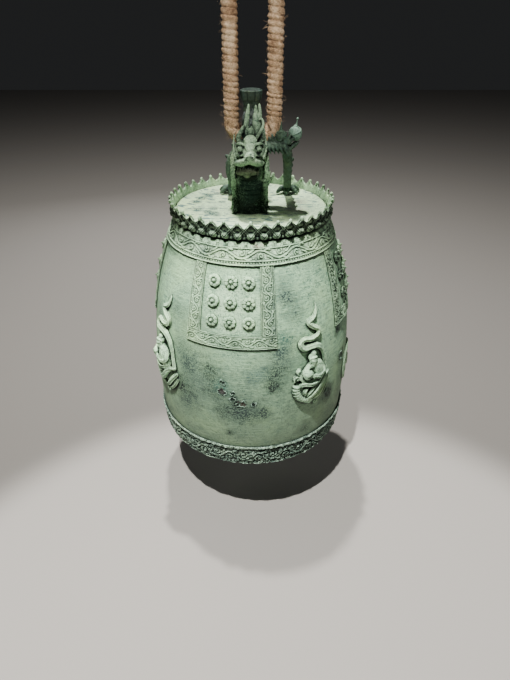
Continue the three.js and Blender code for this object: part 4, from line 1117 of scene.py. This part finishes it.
# Horns, forked on one side, with a dark knob and a curled hair between them, then ears and whiskers.
head += [
    limb(spots((-7, -28, 104, 4.6), (-7.8, -25, 118, 4.0), (-7, -24, 130, 3.8), (-5, -23, 143, 3.3), (-3.5, -22, 155.4, 1.8)), 60, 16, 0.85, FORWARD, grooves(5, 0.7, 1.2)),
    limb(spots((5, -28, 104, 5), (8.5, -24, 117, 6), (9, -22, 129, 7.4), (7.5, -22, 139, 5.2), (7.2, -22, 146, 3.2), (7, -23, 154, 1.8)), 60, 16, 0.85, FORWARD, grooves(5, 0.7, 1.2)),
    limb(spots((10, -21, 129, 5), (12.6, -20, 141, 3.8), (12.4, -20, 155.4, 1.8)), 36, 14, 0.85, FORWARD, grooves(5, 0.6, 1.2)),
    *(limb(line, 20, 12) for line in paired((3, -31, 110, 2.6), (4.5, -31, 119, 2.8), (2.5, -30, 127, 1.6))),
    knob(-1, -33, 120, 4.2, 4.2, 6.6, wide=20, high=14),
    limb(spots((7, -36, 111, 2.8), (12, -33, 118, 2.7), (17, -30, 126, 2.4), (17.8, -28, 133, 2.1), (14.6, -28, 138, 1.7), (12, -28, 136, 1.2)), 44, 10),
    limb(spots((-16, -31, 102, 5), (-18.5, -30, 111, 5), (-14.5, -29, 119, 4.4), (-10.5, -28, 128, 1.6)), 40, 16, 0.7, (1, -0.6, 0), tangled),
    limb(spots((13, -31, 102, 5), (17, -30, 110, 4.6), (17.5, -29, 117, 3.6), (15, -28, 124, 1.4)), 40, 16, 0.7, (-1, -0.6, 0), tangled),
    limb(spots((-24.5, -32, 117, 0.9), (-25.5, -37, 106, 1.5), (-25, -42, 94, 1.7), (-22, -46, 84, 1.9)), 24, 8),
    limb(spots((20, -30, 124, 0.9), (22, -37, 106, 1.6), (22, -42, 96, 1.8), (18, -46, 86, 2)), 24, 8),
]
# Chest and mane, and the tufts that stand out on the right.
head += [
    limb(spots((-2, -22, 90, 18), (-2, -24, 66, 20.5), (-2, -25, 40, 20.5), (-2, -26, 14, 20.5), (-2, -26, -3, 21.5)), 260, 70, 0.78, (0, 1, 0), scutes),
    *(
        limb(line, 150, 22, 0.85, (1, 0, 0), tangled)
        for line in paired((19, -24, 98, 4.6), (24.5, -25, 82, 5), (25, -28, 62, 5), (24, -30, 38, 5.2), (22.5, -31, 16, 5.6), (22, -31, -2, 6.4))
    ),
    *(
        limb(spots((20, -30, low, 3.6), (26, -31, low + 7, 3), (24 + lean, -32, low + 20, 0.7)), 18, 10)
        for low, lean in ((50, 0), (44, 5), (38, 11))
    ),
    *(limb(line, 22, 10) for line in paired((21, -33, 30, 3), (26, -36, 22, 2.6), (27, -38, 12, 2.2), (31, -36, 6, 0.8))),
    *(limb(line, 22, 10) for line in paired((19, -36, 14, 3), (22, -40, 6, 2.8), (27, -42, 0, 1.2))),
]
points, faces = cast(head, 0.6, 2)
marks = [(spot(x, -65.5, 90.5), 1.7, (0, 2.4, 0.8)) for x in (-6, 2)]
# Painted shade: near-black patches down the chest under the head, in the mouth, round the eye sockets and at and
# between the roots of the horns.
SHADE_UNDER_HEAD = [
    ((-2, -45, 424 + h), 22, 3.0, (0.004, 0.007, 0.007)) for h in (0, 12, 22)
] + [((-2, -44, 424 + h), 14, 2.4, (0.010, 0.024, 0.022)) for h in (34, 46, 56)]
SHADE_UNDER_HEAD += [((-2, -46, 487), 8, 2.4, (0.020, 0.013, 0.013)), ((13, -42, 490), 8, 2.4, (0.012, 0.02, 0.017)), ((-2, -34, 541), 6, 1.0, (0.02, 0.05, 0.045))]
SHADE_UNDER_HEAD += [(tuple(spot(*place)), 3.6, 2.0, (0.01, 0.02, 0.016)) for place in both(13, -51, 92.5)]
SHADE_UNDER_HEAD += [((-2, -26, 424 + h), 10, strength, (0.02, 0.04, 0.03)) for h, strength in ((110, 1.8), (122, 1.2))]
SHADE_UNDER_HEAD += [(tuple(spot(*place)), 9, 0.8, (0.05, 0.07, 0.05)) for place in both(19, -34, 114)]
dragon_bronze = bronze_finish("dragon_bronze", (0.50, 0.72, 0.47), (0.08, 0.15, 0.10), SHADE_UNDER_HEAD, 1.0, 1.0)
mesh_piece("dragon_head_and_chest", seated(pressed(points, *marks)), faces, dragon_bronze, "bell", "dragon_head")

# Dragon's lower jaw, cast with the head: a round brown bar of a chin under the upper lip, with small
# teeth and fangs at its corners.
jaw = [
    limb(spots((-5, -32, 61, 7), (-6, -44, 64, 7.4), (-6, -52, 67, 5.6)), 20, 26),
    limb(
        spots((-20, -34, 62, 3.4), (-18, -44, 65, 4.4), (-13, -52, 67.5, 5.2), (-6, -55, 69, 5.4), (1, -52, 67.5, 5.2), (6, -44, 65, 4.4), (8, -34, 62, 3.4)),
        90, 20, relief=grooves(8, 0.6),
    ),
    *(limb(spots((x, -57 + 0.055 * abs(x + 6) ** 1.7, 72, 1.3), (x, -58.5 + 0.055 * abs(x + 6) ** 1.7, 76, 0.5)), 6, 8) for x in range(-16, 5, 4)),
    *(limb(line, 10, 10) for line in paired((12, -46, 70, 1.8), (12.5, -48, 66, 1.5), (12, -49, 61, 0.5))),
]
points, faces = cast(jaw, 0.55, 2)
jaw_bronze = bronze_finish("jaw_bronze", (0.25, 0.28, 0.18), (0.06, 0.07, 0.05), crust=0.9, hollow=1.0)
mesh_piece("dragon_lower_jaw", points, faces, jaw_bronze, "bell", "dragon_jaw")

# Dragon's neck. It bends back over the rope and down to the plate, covered with scales, with a row
# of fins along its back. Rope and hands have worn its inside smooth.
NECK = [(0, -22, 96, 12.4), (0, -15, 113, 12.8), (0, 8, 130, 13.2), (0, 32, 122, 13.2), (0, 45, 96, 13), (0, 46.4, 60, 12)]
NECK += [(0, 41, 20, 12), (0, 39, -3, 13.4)]
neck = [limb(spots(*NECK), 380, 64, relief=scales(38, 14, 1.2))]
for share in np.linspace(0.1, 0.9, 15):
    place = share * (len(NECK) - 1)
    start = int(place)
    near = np.array(NECK[start]) * (start + 1 - place) + np.array(NECK[start + 1]) * (place - start)
    away = Vector((0, near[1] - 12, near[2] - 84)).normalized()
    tall = 11 if share < 0.5 else 6
    root = Vector(near[:3]) + away * near[3] * 0.8
    tip = root + away * (tall + 2) + Vector((0, 3, -2))
    neck.append(limb(spots((*root, 4.2), (*root.lerp(tip, 0.6), 3.0), (*tip, 0.7)), 14, 12, 0.45, (1, 0, 0)))
points, faces = cast(neck, 0.6, 2)
NECK_SHADE = [((0, y, 424 + h), 30, 1.6, (0.008, 0.013, 0.011)) for y, h in ((-8, 130), (10, 144), (30, 138))]
# The scaly bronze is very dark, partly its own colour and partly painted shade; NECK_SHADE paints more shade over the
# neck's top.
scaly_bronze = bronze_finish("scaly_bronze", (0.085, 0.14, 0.095), (0.012, 0.025, 0.018), NECK_SHADE, 1.0, 1.0)
mesh_piece("dragon_arched_neck", seated(points), faces, scaly_bronze, "bell", "dragon_neck")


def paw(x, y, height, claws):
    """A round paw with three long toes; claws are the places of their tips."""
    shells = [knob(x, y, height, 10, 9, 7, wide=24, high=16)]
    for tip in claws:
        tip = np.array(tip, float)
        root, middle = np.array((x, y, height)), np.array((x, y, height)) * 0.45 + tip * 0.55
        line = spots((*root, 4.6), (*middle + (0, 0, 3.5), 4), (*(middle * 0.3 + tip * 0.7 + (0, 0, 1.5)), 2.6), (*tip, 0.8))
        shells.append(limb(line, 26, 14, relief=lambda share, turn: 0.7 * np.abs(np.sin(share * 13))))
    return shells


# Dragon's right leg. It reaches forward from the shoulder to hold up the pearl in its palm, and its
# shank goes back down to a paw on the plate. A curl of hair and pale tufts grow over the shoulder.
right = [
    limb(spots((12, -20, 90, 6.5), (30, -21, 98, 7.6), (46, -19, 97, 7.8), (54, -14, 89, 7.4), (57, -2, 74, 6.8), (59, 24, 52, 6.2), (61, 52, 26, 6), (62, 66, 9, 6.2)), 200, 34, relief=scales(26, 8, 1.1)),
    limb([(*spot(x, -25, h), 2.3) for x, h in spiral((46, 114), 7.4, 0.7, -1.7, 22)], 60, 14),
    knob(46, -24, 114, 7.6, 3.6, 7.6),
    *(
        limb(spots((x, -22, 103, 3.6), (x + lean * 0.4, -23, 103 + rise * 0.6, 2.8), (x + lean, -22, 103 + rise, 0.7)), 18, 12, relief=grooves(4, 0.6))
        for x, lean, rise in ((29, -3, 9), (33, -2, 13), (38, 1, 17), (44, 1, 30), (50, 4, 17), (54, 6, 12), (57, 8, 7))
    ),
    *(
        limb(spots((x, -26, 100, 3), (x + 1, -29, 96, 2.6), (x + 4, -29, 88, 0.8)), 16, 10)
        for x in (26, 32, 38, 44, 50)
    ),
    limb(spots((54, -18, 92, 4.6), (62, -17, 96, 3.6), (68, -16, 100, 3), (73, -16, 104, 1.0)), 26, 14, relief=grooves(5, 0.5)),
    limb(spots((53, -17, 95, 3.6), (57, -15, 104, 3), (57, -14, 114, 0.9)), 22, 12, relief=grooves(5, 0.4)),
    limb(spots((56, -12, 92, 4), (66, -4, 98, 3), (72, -2, 106, 1.0)), 22, 12, relief=grooves(5, 0.4)),
    *(limb(spots((62, y, h, 3), (66, y + 6, h + 2, 2.2), (67, y + 13, h - 4, 0.6)), 16, 10) for y, h in ((4, 70), (20, 57), (34, 44))),
    *paw(61, 68, 8, [(43, 60, 2), (60, 49, 2), (80, 56, 2), (84, 74, 2)]),
]
points, faces = cast(right, 0.6, 2)
mesh_piece("dragon_right_leg", seated(points), faces, scaly_bronze, "bell", "dragon_leg_right")

# Dragon's left leg, planted on the plate beside the neck, with the same scales, hair and paw.
left = [
    limb(spots((-6, 40, 82, 7), (-26, 38, 72, 8), (-35, 40, 50, 7), (-33, 52, 24, 6), (-35, 64, 9, 6)), 150, 34, relief=scales(18, 8, 1.1)),
    *(limb(spots((-36, y, h, 3.4), (-41, y + 6, h + 2, 2.4), (-42, y + 13, h - 4, 0.6)), 16, 10) for y, h in ((40, 66), (42, 54), (46, 40))),
    *(limb(spots((x, 36, 78, 3.2), (x - 2, 33, 84, 2.6), (x - 6, 34, 90, 0.8)), 16, 10) for x in (-14, -20, -26)),
    *paw(-36, 68, 8, [(-19, 58, 2), (-36, 50, 2), (-54, 58, 2), (-56, 76, 2)]),
]
points, faces = cast(left, 0.6, 2)
mesh_piece("dragon_left_leg", seated(points), faces, scaly_bronze, "bell", "dragon_leg_left")

# Pearl. The wish-granting pearl, a smooth dark-green ball with one swirl of flame round it, and a thin
# stalk on top that ends in a bead.
pearl = [
    knob(66.5, -12, 114, 10.6, wide=44, high=30),
    limb([(*spot(66.5 + 10.4 * math.cos(a) * math.cos(b), -12 + 10.4 * math.sin(a) * math.cos(b), 114 + 10.4 * math.sin(b)), 0.9) for a, b in zip(np.linspace(-3.2, 1.6, 22), np.linspace(-0.5, 1.35, 22))], 70, 10),
    limb([(*spot(66.5 + 10.4 * math.cos(a) * math.cos(b), -12 + 10.4 * math.sin(a) * math.cos(b), 114 + 10.4 * math.sin(b)), 0.8) for a, b in zip(np.linspace(-1.2, 2.6, 18), np.linspace(-0.9, 0.5, 18))], 60, 10),
    knob(67, -12, 124.5, 3.4, 3.4, 2.2),
    limb(spots((67, -12, 123, 2.0), (68.5, -12, 129, 1.2), (69, -12, 134, 0.9)), 16, 10),
    knob(69.3, -12, 135, 1.9),
]
points, faces = cast(pearl, 0.5, 1)
pearl_bronze = bronze_finish("pearl_bronze", (0.20, 0.32, 0.25), (0.07, 0.14, 0.11), crust=0.5)
mesh_piece("wish_pearl", points, faces, pearl_bronze, "bell", "dragon_pearl")

# Sound pipe. A bronze tube open at the top that stands behind the neck, made like three joints of
# bamboo, with scrolls in each, a lotus at its foot and another that opens as its mouth.
PIPE_FOOT = (0.0, 53 * DRAGON_SCALE)
PIPE_HEIGHT = 170.0
PIPE_PROFILE = [(0, 19.6), (0.03, 19.8), (0.065, 15.4), (0.085, 13), (0.31, 12.6), (0.322, 15.2), (0.338, 15.2)]
PIPE_PROFILE += [(0.35, 12.8), (0.6, 12.6), (0.612, 15.2), (0.628, 15.2), (0.64, 12.8), (0.86, 12.8), (0.875, 14)]
PIPE_PROFILE += [(0.9, 14.2), (0.95, 16.2), (0.99, 16.6), (1, 15.6)]


def pipe_points(rows=330, columns=150):
    share = np.linspace(0, 1, rows)[:, None]
    turn = np.linspace(0, 2 * math.pi, columns, endpoint=False)[None, :]
    radius = np.interp(share, *np.array(PIPE_PROFILE).T)
    around, up = turn * 13, share * PIPE_HEIGHT
    field = 0 * (share + turn)
    for low, high in ((15.5, 51.5), (61, 101), (110.5, 145.5)):
        inside = (up > low) & (up < high)
        field = np.maximum(field, 1.1 * vine(around, up - low, 13 * math.pi, high - low) * inside)
        field = np.maximum(field, 0.8 * highest(ridge(up - low + 0.6, 0.9), ridge(up - high - 0.6, 0.9)))
    lotus = np.abs(np.cos(4 * turn))
    field = field + 2.0 * lotus**0.6 * np.clip((share - 0.885) / 0.03, 0, 1) * np.clip((1.0 - share) / 0.01, 0, 1)
    field = field + 1.6 * np.abs(np.cos(5 * turn)) ** 0.6 * np.clip((0.055 - share) / 0.01, 0, 1)
    beads_row = beads(around, up, 13 * 2 * math.pi / 30, 0.618 * PIPE_HEIGHT, 1.3)
    beads_row = np.maximum(beads_row, beads(around, up, 13 * 2 * math.pi / 30, 0.33 * PIPE_HEIGHT, 1.3))
    outside = radius - 0.6 + field + 0.7 * beads_row
    inside = np.linspace(1, 0.1, 30)[:, None]
    bore = 8.6 + 3.2 * np.clip((inside - 0.93) / 0.07, 0, 1) + 0 * turn
    # The bore is darkened too: painted shade inside the tube.
    sunk = np.vstack([sunken(field + 0 * turn, 3, 0.5), 0.6 + 0 * bore])
    radius = np.vstack([outside, bore])
    height = BODY_HEIGHT - 0.8 + PIPE_HEIGHT * np.vstack([share, inside]) + 0 * turn
    x, y = PIPE_FOOT[0] + radius * np.sin(turn), PIPE_FOOT[1] - radius * np.cos(turn)
    return np.stack([x, y, height], -1), sunk


pipe, sunk = pipe_points()
# The pipe's bronze is near black: painted shade, as the pipe stands in shade behind the head.
pipe_bronze = bronze_finish("pipe_bronze", (0.05, 0.08, 0.06), (0.01, 0.02, 0.015), crust=1.0, hollow=1.0)
rows, columns = pipe.shape[:2]
faces = weave(rows, columns) + both_ends(rows, columns)
mesh_piece("bamboo_sound_pipe", pipe.reshape(-1, 3), faces, pipe_bronze, "bell", "sound_pipe", sunk=sunk)

# Studio. A plain pale floor far enough below the hanging bell, and soft lights: a strong one almost
# straight above, as over a show case, a broad one high in front, and weak ones for the other sides.
FLOOR_Z = -0.902
floor_paint = new_finish("floor_paint", 0.8)[0]
floor_paint.node_tree.nodes["Principled BSDF"].inputs["Base Color"].default_value = (0.33, 0.31, 0.29, 1)
corners = [(-6, -6), (6, -6), (6, 6), (-6, 6)]
floor_mesh = bpy.data.meshes.new("floor")
floor_mesh.from_pydata([(x, y, FLOOR_Z) for x, y in corners], [], [(0, 1, 2, 3)])
floor_mesh.materials.append(floor_paint)
floor = bpy.data.objects.new("floor", floor_mesh)
bpy.context.scene.collection.objects.link(floor)


def lamp(name, kind, place, aim, power, size, colour=(1, 1, 1), spread=None):
    """A light of the studio; size is how broad it is, and spread how wide a spot opens."""
    light = bpy.data.lights.new(name, kind)
    light.energy = power
    light.color = colour
    if kind == "SPOT":
        light.shadow_soft_size = size
        light.spot_size = math.radians(spread)
        light.spot_blend = 0.3
    else:
        light.size = size
    stand = bpy.data.objects.new(name, light)
    stand.location = place
    stand.rotation_euler = (Vector(aim) - Vector(place)).to_track_quat("-Z", "Y").to_euler()
    bpy.context.scene.collection.objects.link(stand)


lamp("overhead", "AREA", (-0.16, 0.40, 1.75), (0, 0, -0.4), 85, 0.08, (1.0, 0.98, 0.93))
lamp("front", "SPOT", (-0.26, -0.86, 1.43), (0.012, -0.561, -0.907), 430, 0.02, (1.0, 0.99, 0.95), 35.2)
lamp("crown", "SPOT", (-0.12, -1.2, 1.04), (0, 0, -0.16), 110, 0.02, (1.0, 0.97, 0.9), 7.5)
lamp("right", "AREA", (1.7, 0.2, 0.05), (0, 0, -0.5), 2.5, 0.6)
lamp("back", "AREA", (-0.6, 1.7, 0.05), (0, 0, -0.5), 6, 0.6)
room = bpy.data.worlds.new("room")
room.use_nodes = True
room.node_tree.nodes["Background"].inputs["Color"].default_value = (0.75, 0.78, 0.8, 1)
room.node_tree.nodes["Background"].inputs["Strength"].default_value = 0.022
bpy.context.scene.world = room
